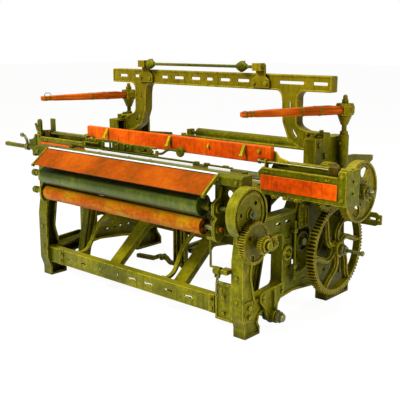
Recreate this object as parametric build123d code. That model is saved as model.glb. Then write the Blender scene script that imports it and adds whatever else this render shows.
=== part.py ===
from build123d import *
from math import acos, atan2, cos, degrees, hypot, pi, radians, sin, sqrt, tan
import os

os.makedirs("parts", exist_ok=True)

# Power loom with overpick motion.
# Millimetres, +X along the loom to the driving side, +Y to the back, +Z up.
# Every position is measured from the middle of the loom (X), the front faces of the front feet (Y)
# and the floor (Z). The finished pieces are moved so that the origin is the middle of the floor bolts.

# Side frames
FRAME_OUT_X = 844.0
FRAME_T = 76.0
FRAME_IN_X = FRAME_OUT_X - FRAME_T
WEB_T = 18.0
RIM_T = 13.0
LIP = 8.0
FRONT_FOOT = (0.0, 127.0)
REAR_FOOT = (777.0, 1029.0)
FLOOR_BOLT_R = 9.0
FRONT_BOLT_Y = 88.0
REAR_BOLT_Y = 985.0
FLOOR_BOLT_X = 800.0
FOOT_PLATE_T = 16.0
SEAT_Z = 800.0
UPPER_RAIL_Z = 613.0
POST_TOP_Z = 792.0
MULLION_Y = 362.0

# Running clearances and the gap between neighbouring curved faces
RUN = 0.06
SIDE = 0.5
GAP = 0.3

# Crankshaft, crank arms and flywheel
CRANK_Y = 605.0
CRANK_START_X = -900.0
JOURNAL_R = 24.0
THROW = 56.0
CRANKPIN_R = 22.0
THROW_X = 640.0
ARM_T = 40.0
ARM_EYE_R = 38.0
SMALL_EYE_R = 28.0
CRANK_WEB_T = 24.0
FLYWHEEL_R = 165.0
FLYWHEEL_X = (1096.0, 1140.0)
CRANK_END_X = 1214.0

# Tappet shaft and the 2 to 1 wheel pair
MODULE = 6.5
PINION_TEETH = 40
WHEEL_TEETH = 80
MESH_PLAY = 0.5
WHEEL_X = (905.0, 950.0)
TAPPET_Y = 720.0
TAPPET_Z = 353.0
TAPPET_SHAFT_R = 22.0
TAPPET_SHAFT_X = (-900.0, 1000.0)
TAPPET_END_X = 1108.0
WHEEL_DISTANCE = MODULE * (PINION_TEETH + WHEEL_TEETH) / 2 + MESH_PLAY
CRANK_Z = TAPPET_Z + sqrt(WHEEL_DISTANCE**2 - (TAPPET_Y - CRANK_Y) ** 2)

# Rocking shaft and sley
ROCK_Y = 220.0
ROCK_Z = 78.0
ROCK_R = 22.0
ROCK_END_X = 930.0
ROCK_PLATE_T = 14.0
SWORD_X = 700.0
SWORD_T = 44.0
SWORD_PIN_Y = 335.0
SWORD_PIN_Z = 560.0
SLEY_FRONT_Y = 285.0
SLEY_BACK_Y = 405.0
SLEY_Z = (712.0, 748.0)
SLEY_END_X = 1190.0
BOX_IN_X = 722.0
BOX_TOP_Z = 853.0
BOX_POST_X = 1235.0
PANEL_T = 6.0
PANEL_Z = (737.0, 817.0)
CAP_X = 747.0
CAP_Y = (325.0, 358.0)
CAP_Z = (899.0, 957.0)
SPINDLE_Y = 312.0
SPINDLE_Z = 878.0
SPINDLE_R = 7.0
BOX_PLATE_T = 10.0
BOX_BACK_Z = 878.0
BOX_POST_Z = 886.0
PICKER_X = (1120.0, 1172.0)

# Picking shafts and sticks
PICK_X = 885.0
PICK_Y = 832.0
PICK_R = 14.0
PICK_HOUSING_Z = (815.0, 985.0)
STICK_Z = 1128.0
STICK_LEN = 668.0
STICK_T = 34.0
STICK_LEAN_R = -21.7
STICK_LEAN_L = -13.0

# Arch
ARCH_Y = (684.5, 748.0)
ARCH_TOP_Z = 1316.0
ARCH_BAR_Z = 1226.0
ARCH_HALF_X = 881.0
ARCH_WEB_T = 15.0
ARCH_RIM_T = 9.0
ARCH_SLOT_Z = 1272.0
ARCH_FOOT_X = 848.0
ARCH_FOOT_Z = 1003.0
ARCH_BOLT_X = 810.0
ARCH_BOLT_R = 8.0
BRACKET_TOP_Z = 975.0
BRACKET_Y = (605.0, 925.0)

# Breast beam, board and take-up
BEAM_HALF_X = 838.0
BEAM_Y = (-34.0, 52.0)
BEAM_Z = (800.0, 856.0)
BOARD_X = 688.0
BOARD_TOP = (-44.5, 846.0)
BOARD_BOTTOM = (-152.0, 764.0)
BOARD_T = 9.0
TAKE_UP_Y = -50.0
TAKE_UP_Z = 686.0
TAKE_UP_R = 58.0
CLOTH_Z = 576.0
CLOTH_R = 46.0
ROLLER_LEFT_X = -700.0
ROLLER_RIGHT_X = 606.0
ROLLER_SHAFT_R = 12.0
CHEEK_X = (690.0, 706.0)
LEFT_CHEEK_X = (-740.0, -724.0)
WHEEL_PLATE_T = 14.0
STUD_END_X = 1024.0
CHANGE_END_X = 972.0
TRAIN_MODULE = 4.0
BEAM_WHEEL_TEETH = 56
STUD_PINION_TEETH = 13
STUD_WHEEL_TEETH = 52
CHANGE_TEETH = 18
TRAIN_PLAY = 0.4
BEAM_WHEEL_X = (866.0, 906.0)
STUD_WHEEL_X = (918.0, 948.0)
RATCHET_X = (980.0, 1004.0)
STUD_R = 11.0
STUD_Z = TAKE_UP_Z - TRAIN_MODULE * (BEAM_WHEEL_TEETH + STUD_PINION_TEETH) / 2 - TRAIN_PLAY
CHANGE_DISTANCE = TRAIN_MODULE * (STUD_WHEEL_TEETH + CHANGE_TEETH) / 2 + TRAIN_PLAY
CHANGE_ANGLE = -12.0
CHANGE_Y = TAKE_UP_Y + CHANGE_DISTANCE * cos(radians(CHANGE_ANGLE))
CHANGE_Z = STUD_Z + CHANGE_DISTANCE * sin(radians(CHANGE_ANGLE))

# Rails and stays between the frames
RAIL_Y = (4.0, 58.0)
RAIL_Z = (94.0, 190.0)
RAIL_T = 9.0
MIDDLE_RAIL_Y = (440.0, 500.0)
MIDDLE_RAIL_Z = (330.0, 430.0)
REAR_RAIL_Y = (930.0, 985.0)
REAR_RAIL_Z = (150.0, 240.0)
STAY_X = 275.0
STAY_W = 84.0
STAY_T = 10.0
STAY_CHEEK = 36.0

# Guide drum in the middle window of the driving-side frame
DRUM_Y = 486.0
DRUM_Z = 430.0
DRUM_R = 56.0
DRUM_STUD_R = 12.0

# Disc and lift rod on the outer face of the driving-side frame
DISC_Y = 350.0
DISC_Z = 392.0
LIFT_ROD_Y = 400.0
LIFT_ROD_R = 8.0
LIFT_ROD_STAND = 22.0

# Back rest and heald roller
BACK_REST_Y = 1200.0
BACK_REST_Z = 845.0
BACK_REST_R = 36.0
BACK_REST_HALF = 545.0
BACK_SHAFT_R = 12.0
REST_BLOCK_X = (604.0, 634.0)
REST_LEDGE_Z = (792.0, 806.0)
TIE_Y = 1124.0
TIE_Z = 828.0
TIE_R = 9.0
HEALD_Y = 652.0
HEALD_Z = 1356.0
HEALD_R = 9.0
HEALD_X = (-478.0, 288.0)

# Treadles
TREADLE_X = 34.0
TREADLE_W = 26.0
TREADLE_TIP_Y = 470.0
TREADLE_PIVOT_Y = 890.0
TREADLE_PIVOT_Z = 196.0
TREADLE_PIN_R = 11.0
TAPPET_LIFT_R = 92.0
TAPPET_BASE_R = 58.0
BOWL_R = 26.0

# Temple bars and starting handle
TEMPLE_Y = 66.0
TEMPLE_Z = 872.0
HANDLE_X = -960.0
HANDLE_Z = 832.0
HANDLE_ROD_R = 11.0
HANDLE_ROD_END_X = -1180.0
QUADRANT_X = -868.0

# Hook rod and let-off chain
HOOK_X = 655.0
HOOK_FOOT_Z = 372.0
CHAIN_X = 700.0
CHAIN_PIN_Z = 328.0
LINK_LEN = 28.0
LINK_W = 15.2
LINK_WIRE = 4.6
LINK_COUNT = 6

ORIGIN_Y = (FRONT_BOLT_Y + REAR_BOLT_Y) / 2
FRAME_MID_X = (FRAME_IN_X + FRAME_OUT_X) / 2
ARCH_MID_Y = (ARCH_Y[0] + ARCH_Y[1]) / 2
CAP_MID_Y = (CAP_Y[0] + CAP_Y[1]) / 2


def rounded(corners):
    """Flat face from (u, v, radius) corners, each corner rounded by its own radius."""
    face = make_face(Polyline(*[(u, v) for u, v, _ in corners], close=True))
    for u, v, radius in corners:
        if radius:
            corner = face.vertices().sort_by_distance((u, v, 0))[0]
            face = fillet(corner, radius)
    return face


def along_x(face, x0, x1):
    """Extrude a face drawn as (Y, Z) from x0 to x1."""
    return Pos(x0, 0, 0) * extrude(Plane.YZ * face, x1 - x0)


def along_y(face, y0, y1):
    """Extrude a face drawn as (X, Z) from y0 to y1."""
    return Pos(0, y1, 0) * extrude(Plane.XZ * face, y1 - y0)


def along_z(face, z0, z1):
    """Extrude a face drawn as (X, Y) from z0 to z1."""
    return Pos(0, 0, z0) * extrude(face, z1 - z0)


def rod_x(y, z, radius, x0, x1):
    return Pos((x0 + x1) / 2, y, z) * Rot(0, 90, 0) * Cylinder(radius, x1 - x0)


def rod_y(x, z, radius, y0, y1):
    return Pos(x, (y0 + y1) / 2, z) * Rot(90, 0, 0) * Cylinder(radius, y1 - y0)


def rod_z(x, y, radius, z0, z1):
    return Pos(x, y, (z0 + z1) / 2) * Cylinder(radius, z1 - z0)


def block(x, y, z):
    """Box from three (low, high) pairs."""
    centre = Pos(sum(x) / 2, sum(y) / 2, sum(z) / 2)
    return centre * Box(x[1] - x[0], y[1] - y[0], z[1] - z[0])


def slot(u, v, length, width, angle=0):
    return Pos(u, v) * Rot(0, 0, angle) * SlotOverall(length, width)


def both(shape):
    """The shape and its mirror image on the other side of the loom."""
    return shape + mirror(shape, Plane.YZ)


def bar_between(start, end, width_start, width_end):
    """Flat tapered link outline with round ends."""
    angle = degrees(atan2(end[1] - start[1], end[0] - start[0]))
    length = hypot(end[0] - start[0], end[1] - start[1])
    a, b = width_start / 2, width_end / 2
    body = make_face(Polyline((0, -a), (length, -b), (length, b), (0, a), close=True))
    body += Circle(a)
    body += Pos(length, 0) * Circle(b)
    return Pos(start[0], start[1]) * Rot(0, 0, angle) * body


def hex_x(y, z, across, x0, x1):
    return along_x(Pos(y, z) * RegularPolygon(across / 2, 6, major_radius=False), x0, x1)


def hex_y(x, z, across, y0, y1):
    return along_y(Pos(x, z) * RegularPolygon(across / 2, 6, major_radius=False), y0, y1)


def hex_z(x, y, across, z0, z1):
    return along_z(Pos(x, y) * RegularPolygon(across / 2, 6, major_radius=False), z0, z1)


def involute(angle):
    return tan(angle) - angle


def gear_face(teeth, module, backlash, turn=0.0):
    """Spur gear outline with 20 degree involute flanks; turn is the angle of one tooth's middle."""
    pressure = radians(20)
    pitch_r = module * teeth / 2
    base_r = pitch_r * cos(pressure)
    root_r = pitch_r - 1.2 * module
    tip_r = pitch_r + 0.92 * module
    half_pitch = pi / (2 * teeth) - backlash / (2 * pitch_r)
    flank = []
    for radius in (root_r, pitch_r, tip_r):
        rolled = involute(acos(base_r / max(radius, base_r)))
        flank.append((radius, half_pitch + involute(pressure) - rolled))
    points = []
    for index in range(teeth):
        middle = radians(turn) + 2 * pi * index / teeth
        rising = [(r, middle - half) for r, half in flank]
        falling = [(r, middle + half) for r, half in reversed(flank)]
        points += [(r * cos(a), r * sin(a)) for r, a in rising + falling]
    return make_face(Polyline(*points, close=True))


def ring_of(shape, count, radius, start=0.0):
    """A flat shape repeated on a circle around the origin."""
    turned = [Rot(0, 0, start + 360 * i / count) * Pos(radius, 0) * shape for i in range(count)]
    return Sketch() + turned


def save(node, shape):
    """Write one piece, moved to the machine's own origin."""
    placed = Pos(0, -ORIGIN_Y, 0) * shape
    placed.label = node
    export_step(placed, f"parts/{node}.step")


# Side frames: ribbed castings with round-cornered windows, feet and shaft seats
FRAME_OUTLINE = [
    (FRONT_FOOT[0], 0, 3), (FRONT_FOOT[1], 0, 3), (FRONT_FOOT[1], 40, 8), (110, 66, 14),
    (122, 104, 20), (190, 126, 60), (320, 146, 120), (430, 157, 160), (640, 136, 120),
    (REAR_FOOT[0], 112, 12), (REAR_FOOT[0], 0, 3), (REAR_FOOT[1], 0, 3), (REAR_FOOT[1], 52, 10),
    (988, 112, 50), (958, 330, 200), (934, 640, 200), (BRACKET_Y[1], SEAT_Z, 4), (668, SEAT_Z, 4),
    (668, CRANK_Z, 0), (542, CRANK_Z, 3), (542, 690, 12), (500, 664, 24), (452, 654, 20),
    (428, UPPER_RAIL_Z, 14), (170, UPPER_RAIL_Z, 26), (112, 640, 26), (100, POST_TOP_Z, 10),
    (-4, POST_TOP_Z, 4), (-4, 520, 60), (-22, 420, 60), (-22, 120, 60), (FRONT_FOOT[0], 56, 12),
]
FRAME_WINDOWS = [
    [(84, 190, 16), (318, 213, 34), (318, 498, 26), (74, 498, 26), (50, 330, 60)],
    [(405, 252, 18), (572, 262, 60), (572, 500, 24), (405, 500, 24)],
    [(778, 236, 22), (902, 236, 22), (872, 640, 24), (778, 640, 24)],
]
CRANK_SEAT_X = (FRAME_IN_X + 10, FRAME_OUT_X - 10)


def side_frame():
    outline = rounded(FRAME_OUTLINE)
    windows = [rounded(w) for w in FRAME_WINDOWS]
    pocket = offset(outline, -RIM_T)
    for window in windows:
        outline -= window
        pocket -= offset(window, RIM_T)
    bearing_pad = Pos(CRANK_Y, CRANK_Z - 66) * Rectangle(126, 132)
    tappet_pad = Pos(TAPPET_Y, TAPPET_Z) * Circle(54)
    rail_pads = Pos(31, 142) * Rectangle(70, 110)
    rail_pads += Pos(MULLION_Y, 392) * Rectangle(100, 150)
    rail_pads += Pos(958, 195) * Rectangle(80, 110)
    pocket -= bearing_pad + tappet_pad + rail_pads
    casting = along_x(outline, FRAME_IN_X, FRAME_OUT_X)
    casting -= along_x(pocket, FRAME_IN_X, FRAME_OUT_X - LIP - WEB_T)
    casting -= along_x(pocket, FRAME_OUT_X - LIP, FRAME_OUT_X)
    rail_slots = slot(288, 560, 44, 17, 6) + slot(371, 560, 44, 17, 6)
    for y in (544, 611, 669, 748):
        rail_slots += slot(y, 200, 30, 12, 4)
    casting -= along_x(rail_slots, FRAME_IN_X, FRAME_OUT_X)
    casting -= rod_x(CRANK_Y, CRANK_Z, JOURNAL_R + RUN, FRAME_IN_X, FRAME_OUT_X)
    casting -= rod_x(TAPPET_Y, TAPPET_Z, TAPPET_SHAFT_R + RUN, FRAME_IN_X, FRAME_OUT_X)
    for y in (FRONT_BOLT_Y, REAR_BOLT_Y):
        pocket_r = 22 if y == FRONT_BOLT_Y else 26
        casting -= rod_z(FLOOR_BOLT_X, y, FLOOR_BOLT_R, 0, 60)
        casting -= rod_z(FLOOR_BOLT_X, y, pocket_r, FOOT_PLATE_T, 60)
    return casting


right_frame = side_frame()
save("side_frame_right", right_frame)
save("side_frame_left", mirror(right_frame, Plane.YZ))

# Crank bearing caps on the split seats of the frames
cap_outline = Pos(CRANK_Y, CRANK_Z + 9) * Rectangle(124, 18)
cap_outline += Pos(CRANK_Y, CRANK_Z) * Circle(JOURNAL_R + 20)
cap_outline -= Pos(CRANK_Y, CRANK_Z - 50) * Rectangle(200, 100)
crank_cap = along_x(cap_outline, *CRANK_SEAT_X)
crank_cap += rod_z(FRAME_MID_X, CRANK_Y, 9, CRANK_Z + 40, CRANK_Z + 56)
crank_cap -= rod_x(CRANK_Y, CRANK_Z, JOURNAL_R + RUN, FRAME_IN_X, FRAME_OUT_X)
for side in (-48, 48):
    crank_cap += hex_z(FRAME_MID_X, CRANK_Y + side, 20, CRANK_Z + 18, CRANK_Z + 30)
save("crank_bearing_caps", both(crank_cap))


# Channel rails from frame to frame
def channel(y, z, thickness, half=FRAME_IN_X, open_to_rear=True):
    rail = block((-half, half), y, z)
    inner_y = (y[0] + thickness, y[1]) if open_to_rear else (y[0], y[1] - thickness)
    rail -= block((-half, half), inner_y, (z[0] + thickness, z[1] - thickness))
    for x in (-half, half - thickness):
        rail += block((x, x + thickness), y, z)
    return rail


front_rail = channel(RAIL_Y, RAIL_Z, RAIL_T)
key_slots = Sketch()
slot_places = ((-560, 34), (-425, 30), (-290, 0), (-130, 0), (20, 52), (160, 60), (320, 56), (470, 50))
for x, tail in slot_places:
    key_slots += Pos(x, 140) * Circle(8)
    if tail:
        key_slots += slot(x - tail / 2, 143, tail + 8, 9, 4)
front_rail -= along_y(key_slots, RAIL_Y[0], RAIL_Y[0] + RAIL_T)
for x in (-672, 602):
    front_rail += block((x, x + 36), (RAIL_Y[0] - 7, RAIL_Y[0]), (RAIL_Z[0] + 2, RAIL_Z[1] + 8))
    front_rail += hex_y(x + 18, 122, 20, RAIL_Y[0] - 15, RAIL_Y[0] - 7)
save("front_rail", front_rail)

middle_rail = channel(MIDDLE_RAIL_Y, MIDDLE_RAIL_Z, RAIL_T, FRAME_IN_X - RAIL_T)
rib_outline = Polyline(
    (MIDDLE_RAIL_Y[0] + 4, MIDDLE_RAIL_Z[0] + 4), (MIDDLE_RAIL_Y[1] - 6, MIDDLE_RAIL_Z[0] + 4),
    (MIDDLE_RAIL_Y[0] + 4, MIDDLE_RAIL_Z[1] - 4), close=True,
)
for x in (-520, -260, 0, 260, 520):
    middle_rail += along_x(make_face(rib_outline), x - 5, x + 5)
middle_rail_end = block(
    (FRAME_IN_X - RAIL_T, FRAME_IN_X),
    (MULLION_Y - 28, MIDDLE_RAIL_Y[1] + 24),
    (MIDDLE_RAIL_Z[0], DRUM_Z + 26),
)
middle_rail_ends = [middle_rail_end, mirror(middle_rail_end, Plane.YZ)]
save("middle_rail", Compound(children=[middle_rail, *middle_rail_ends]))

rear_rail = channel(REAR_RAIL_Y, REAR_RAIL_Z, RAIL_T, open_to_rear=False)
for x in (-2 * TREADLE_X, 0, 2 * TREADLE_X):
    lug = rounded([
        (REAR_RAIL_Y[1] - RAIL_T, REAR_RAIL_Z[0] + 4, 0), (REAR_RAIL_Y[1] - RAIL_T, REAR_RAIL_Z[1] - 4, 0),
        (REAR_RAIL_Y[0] - 4, REAR_RAIL_Z[1] - 4, 8), (TREADLE_PIVOT_Y - 18, TREADLE_PIVOT_Z + 18, 12),
        (TREADLE_PIVOT_Y - 18, TREADLE_PIVOT_Z - 18, 12), (REAR_RAIL_Y[0] - 4, REAR_RAIL_Z[0] + 4, 8),
    ])
    rear_rail += along_x(lug, x - 9, x + 9)
rear_rail += rod_x(TREADLE_PIVOT_Y, TREADLE_PIVOT_Z, TREADLE_PIN_R, -96, 96)
for x in (-104, 96):
    rear_rail += rod_x(TREADLE_PIVOT_Y, TREADLE_PIVOT_Z, TREADLE_PIN_R + 6, x, x + 8)
save("rear_rail", rear_rail)

# Inclined channel stays from the front rail up to the middle rail
stay_line = [(RAIL_Y[1], 150), (RAIL_Y[1] + 46, 150), (MIDDLE_RAIL_Y[0] - 56, 378), (MIDDLE_RAIL_Y[0], 378)]


def stay_face(depth, reach):
    """Side of a stay: its line, deepened downwards, with both bends moved back by reach."""
    start, low, high, end = stay_line
    lower = [
        (end[0], end[1] - depth), (high[0] + reach, high[1] - depth),
        (low[0] + reach, low[1] - depth), (start[0], start[1] - depth),
    ]
    return make_face(Polyline(*stay_line, *lower, close=True))


stay_x = (STAY_X - STAY_W / 2, STAY_X + STAY_W / 2)
stay_cheek = stay_face(STAY_CHEEK, 18)
stay = along_x(stay_face(STAY_T, 6), *stay_x)
stay += along_x(stay_cheek, stay_x[0], stay_x[0] + STAY_T)
stay += along_x(stay_cheek, stay_x[1] - STAY_T, stay_x[1])
stay += block(stay_x, (RAIL_Y[1], RAIL_Y[1] + 10), (98, 186))
stays = both(stay)

# Thin curved stays from the front rail to the middle rail
curve_outer = Spline((RAIL_Y[1], 178), (150, 206), (206, 300), (330, 396), (MIDDLE_RAIL_Y[0], 408))
curved_stay = along_x(trace(curve_outer, 15), 0, 26)
curved_stay -= block((0, 26), MIDDLE_RAIL_Y, MIDDLE_RAIL_Z)
curved_stay -= block((0, 26), RAIL_Y, RAIL_Z)
curved_stay += block((-7, 33), (RAIL_Y[1], RAIL_Y[1] + 12), (150, 190))
stays += Pos(-568, 0, 0) * curved_stay + Pos(196, 0, 0) * curved_stay
save("rail_stays", stays)

# Ribbed centre bracket hung from the middle rail, with the jointed bar at its foot
bracket_face = Pos(0, 265) * Rectangle(96, 300)
centre_bracket = along_y(bracket_face, MIDDLE_RAIL_Y[0] - 16, MIDDLE_RAIL_Y[0])
for x in (-43, -20, 20, 43):
    centre_bracket += block((x - 5, x + 5), (MIDDLE_RAIL_Y[0] - 34, MIDDLE_RAIL_Y[0] - 16), (115, 415))

joint_x = -123
joint_y = MIDDLE_RAIL_Y[0] - 60
joint_z = 165
jointed_bar = along_y(rounded([
    (-356, 118, 6), (-200, 128, 60), (-150, 152, 20), (-96, 152, 20), (-60, 128, 40), (36, 138, 6),
    (36, 160, 6), (-60, 152, 40), (-88, 178, 20), (-158, 178, 20), (-208, 154, 60), (-356, 144, 6),
]), joint_y, joint_y + 22)
jointed_bar += rod_y(joint_x, joint_z, 19, joint_y - 8, joint_y + 30)
jointed_bar += rod_y(0, 148, 9, joint_y + 22, MIDDLE_RAIL_Y[0] - 16)
jointed_bar -= rod_y(joint_x, joint_z, 7, joint_y - 8, joint_y + 30)
save("centre_bracket", centre_bracket + jointed_bar)

# Cover panel between the front rail and the driving-side foot
panel_x = (657.0, FRAME_IN_X - GAP)
cover = block(panel_x, (-9, RAIL_Y[0]), (78, 282))
cover += block(panel_x, (-15, -9), (78, 282))
cover -= block((panel_x[0] + 12, panel_x[1] - 12), (-15, -9), (90, 270))
cover += block((panel_x[0] + 30, panel_x[0] + 42), (-13, -9), (226, 250))
cover += hex_y((panel_x[0] + panel_x[1]) / 2, 118, 18, -19, -9)
cover += hex_y((panel_x[0] + panel_x[1]) / 2, 206, 18, -19, -9)
cover += block((panel_x[1] - 30, FRAME_IN_X), (-4, RAIL_Y[0] + 2), (206, 250))
save("cover_panel", cover)

# Top arch: one flanged casting with slotted bar and outward feet
ARCH_HALF = [
    (0, ARCH_TOP_Z, 0), (ARCH_HALF_X, ARCH_TOP_Z, 8), (ARCH_HALF_X, ARCH_BAR_Z, 8),
    (662, ARCH_BAR_Z, 42), (662, 1030, 40), (724, 1005, 26), (770, ARCH_FOOT_Z, 6),
    (ARCH_FOOT_X, ARCH_FOOT_Z, 6), (ARCH_FOOT_X, BRACKET_TOP_Z, 3), (FRAME_IN_X, BRACKET_TOP_Z, 0),
    (FRAME_IN_X, 892, 4), (690, 900, 50), (606, 950, 70), (564, 1050, 90), (560, 1160, 60), (548, ARCH_BAR_Z, 38), (0, ARCH_BAR_Z, 0),
]


def arch():
    half = rounded(ARCH_HALF)
    outline = half + mirror(half, Plane.YZ)
    pocket = offset(outline, -ARCH_RIM_T)
    casting = along_y(outline, ARCH_Y[0], ARCH_Y[1])
    casting -= along_y(pocket, ARCH_Y[0] + ARCH_WEB_T, ARCH_Y[1])
    casting -= along_y(pocket, ARCH_Y[0], ARCH_Y[0] + 4)
    openings = Sketch()
    bar_slots = (
        (-780, 84), (-603, 134), (-385, 60), (-258, 86), (-112, 80), (3, 56),
        (128, 82), (270, 92), (616, 172), (808, 98),
    )
    for x, length in bar_slots:
        openings += slot(x, ARCH_SLOT_Z, length, 17)
    for side in (-1, 1):
        openings += slot(side * 608, 1142, 46, 12, 90)
        openings += slot(side * 645, 988, 54, 14, -side * 52)
    casting -= along_y(openings, ARCH_Y[0], ARCH_Y[1])
    for side in (-1, 1):
        casting -= rod_z(side * ARCH_BOLT_X, ARCH_MID_Y, ARCH_BOLT_R, BRACKET_TOP_Z - 1, ARCH_FOOT_Z + 7)
    return casting


save("arch", arch())

# Arch brackets: box castings on the frames, each with the upright housing of a picking shaft
bracket_side = rounded([
    (668, SEAT_Z, 3), (BRACKET_Y[1], SEAT_Z, 3), (BRACKET_Y[1], BRACKET_TOP_Z, 10),
    (BRACKET_Y[0], BRACKET_TOP_Z, 4), (BRACKET_Y[0], 814, 6), (664, 814, 3),
])
arch_bracket = along_x(bracket_side, FRAME_IN_X, FRAME_OUT_X)
arch_bracket -= along_x(offset(bracket_side, -14), FRAME_IN_X, FRAME_OUT_X - 16)
arch_bracket += block((FRAME_IN_X, FRAME_OUT_X), (ARCH_Y[0] - 8, ARCH_Y[1] + 8), (880, BRACKET_TOP_Z))
arch_bracket += rod_z(PICK_X, PICK_Y, 29, *PICK_HOUSING_Z)
arch_bracket += block((FRAME_OUT_X, PICK_X), (PICK_Y - 20, PICK_Y + 20), (PICK_HOUSING_Z[0] + 20, 960))
arch_bracket += rod_z(PICK_X, PICK_Y, 24, PICK_HOUSING_Z[1], PICK_HOUSING_Z[1] + 10)
arch_bracket -= rod_z(PICK_X, PICK_Y, PICK_R + RUN, 780, 1010)
arch_bracket -= block((FRAME_OUT_X - 20, FRAME_OUT_X + 60), (PICK_Y - 6, PICK_Y + 6), (856, 872))
arch_bracket -= along_x(slot(720, 826, 44, 13) + slot(690, 862, 26, 12), FRAME_IN_X, FRAME_OUT_X)
arch_bracket -= rod_z(ARCH_BOLT_X, ARCH_MID_Y, ARCH_BOLT_R, 900, BRACKET_TOP_Z)
save("arch_brackets", both(arch_bracket))

# Breast beam: hollow casting with a rounded nose
beam_outline = rounded([
    (BEAM_Y[0], BEAM_Z[0], 4), (BEAM_Y[1], BEAM_Z[0], 4),
    (BEAM_Y[1], BEAM_Z[1], 5), (BEAM_Y[0], BEAM_Z[1], 20),
])
beam = along_x(beam_outline, -BEAM_HALF_X, BEAM_HALF_X)
beam -= along_x(offset(beam_outline, -9), -BEAM_HALF_X, BEAM_HALF_X)
for x in (-BEAM_HALF_X, -300, 292, BEAM_HALF_X - 8):
    beam += along_x(beam_outline, x, x + 8)
for side in (-1, 1):
    beam += block(sorted((side * FRAME_IN_X, side * (FRAME_OUT_X - 6))), (-3, 46), (POST_TOP_Z, BEAM_Z[0]))
save("breast_beam", beam)

# Bare front board, sloping out from under the beam, with its two end strips
board_angle = degrees(atan2(BOARD_TOP[1] - BOARD_BOTTOM[1], BOARD_TOP[0] - BOARD_BOTTOM[0]))
board_len = hypot(BOARD_TOP[1] - BOARD_BOTTOM[1], BOARD_TOP[0] - BOARD_BOTTOM[0])
board_mid = ((BOARD_TOP[0] + BOARD_BOTTOM[0]) / 2, (BOARD_TOP[1] + BOARD_BOTTOM[1]) / 2)
board_face = Pos(*board_mid) * Rot(0, 0, board_angle) * RectangleRounded(board_len, BOARD_T, 2)
save("front_board", along_x(board_face, -BOARD_X, BOARD_X))
strip_face = Pos(*board_mid) * Rot(0, 0, board_angle) * RectangleRounded(board_len + 8, BOARD_T + 10, 3)
strip = along_x(strip_face, BOARD_X, BOARD_X + 9)
strip += rod_x(BOARD_BOTTOM[0] - 2, BOARD_BOTTOM[1] - 3, 10, BOARD_X, BOARD_X + 12)
strip += block((BOARD_X, BOARD_X + 9), (BEAM_Y[0] - 12, BEAM_Y[0]), (820, 838))
save("board_strips", both(strip))


# Roller brackets: front plate with openings and a forward cheek that carries both rollers
def roller_bracket(cheek_x, plate_x):
    plate = Pos(sum(plate_x) / 2, 667) * Rectangle(plate_x[1] - plate_x[0], 262)
    side = 1 if plate_x[0] > 0 else -1
    plate -= Pos(side * 738, 752) * Circle(21)
    plate -= Pos(side * 737, 702) * Rectangle(38, 20)
    plate -= Pos(side * 737, 628) * RectangleRounded(44, 74, 8)
    bracket = along_y(plate, 0, 12)
    cheek = rounded([
        (0, 796, 3), (0, 540, 3), (-30, 510, 10), (-66, 510, 12), (-84, 546, 14), (-84, 610, 14),
        (-60, 632, 10), (-88, 654, 14), (-88, 716, 20), (-40, 742, 20), (-20, 796, 6),
    ])
    bracket += along_x(cheek, *cheek_x)
    bracket += rod_x(TAKE_UP_Y, TAKE_UP_Z, 27, cheek_x[0] - 10, cheek_x[1] + 10)
    bracket += rod_x(TAKE_UP_Y, CLOTH_Z, 22, cheek_x[0] - 6, cheek_x[1] + 6)
    bracket -= rod_x(TAKE_UP_Y, TAKE_UP_Z, ROLLER_SHAFT_R + RUN, cheek_x[0] - 10, cheek_x[1] + 10)
    bracket -= rod_x(TAKE_UP_Y, CLOTH_Z, ROLLER_SHAFT_R + RUN, cheek_x[0] - 6, cheek_x[1] + 6)
    return bracket


roller_brackets = roller_bracket(CHEEK_X, (640.0, FRAME_IN_X))
roller_brackets += roller_bracket(LEFT_CHEEK_X, (-FRAME_IN_X, -715.0))
save("roller_brackets", roller_brackets)

# Take-up and cloth rollers
take_up = rod_x(TAKE_UP_Y, TAKE_UP_Z, TAKE_UP_R, ROLLER_LEFT_X, ROLLER_RIGHT_X)
take_up = chamfer(take_up.edges().filter_by(GeomType.CIRCLE), 2)
take_up += rod_x(TAKE_UP_Y, TAKE_UP_Z, 22, ROLLER_RIGHT_X, ROLLER_RIGHT_X + 52)
take_up += rod_x(TAKE_UP_Y, TAKE_UP_Z, ROLLER_SHAFT_R, LEFT_CHEEK_X[0] - 60, 934)
take_up += rod_x(TAKE_UP_Y, TAKE_UP_Z, 19, 906 + SIDE, 922)
save("take_up_roller", take_up)

cloth = rod_x(TAKE_UP_Y, CLOTH_Z, CLOTH_R, -684, ROLLER_RIGHT_X + 8)
end_recess = Circle(CLOTH_R - 6) - Circle(13)
for angle in (20, 110):
    end_recess -= Rot(0, 0, angle) * Rectangle(2 * CLOTH_R, 9)
cloth -= along_x(Pos(TAKE_UP_Y, CLOTH_Z) * end_recess, ROLLER_RIGHT_X - 6, ROLLER_RIGHT_X + 8)
cloth += rod_x(TAKE_UP_Y, CLOTH_Z, ROLLER_SHAFT_R, LEFT_CHEEK_X[0] - 20, CHEEK_X[1] + 26)
save("cloth_roller", cloth)

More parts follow.
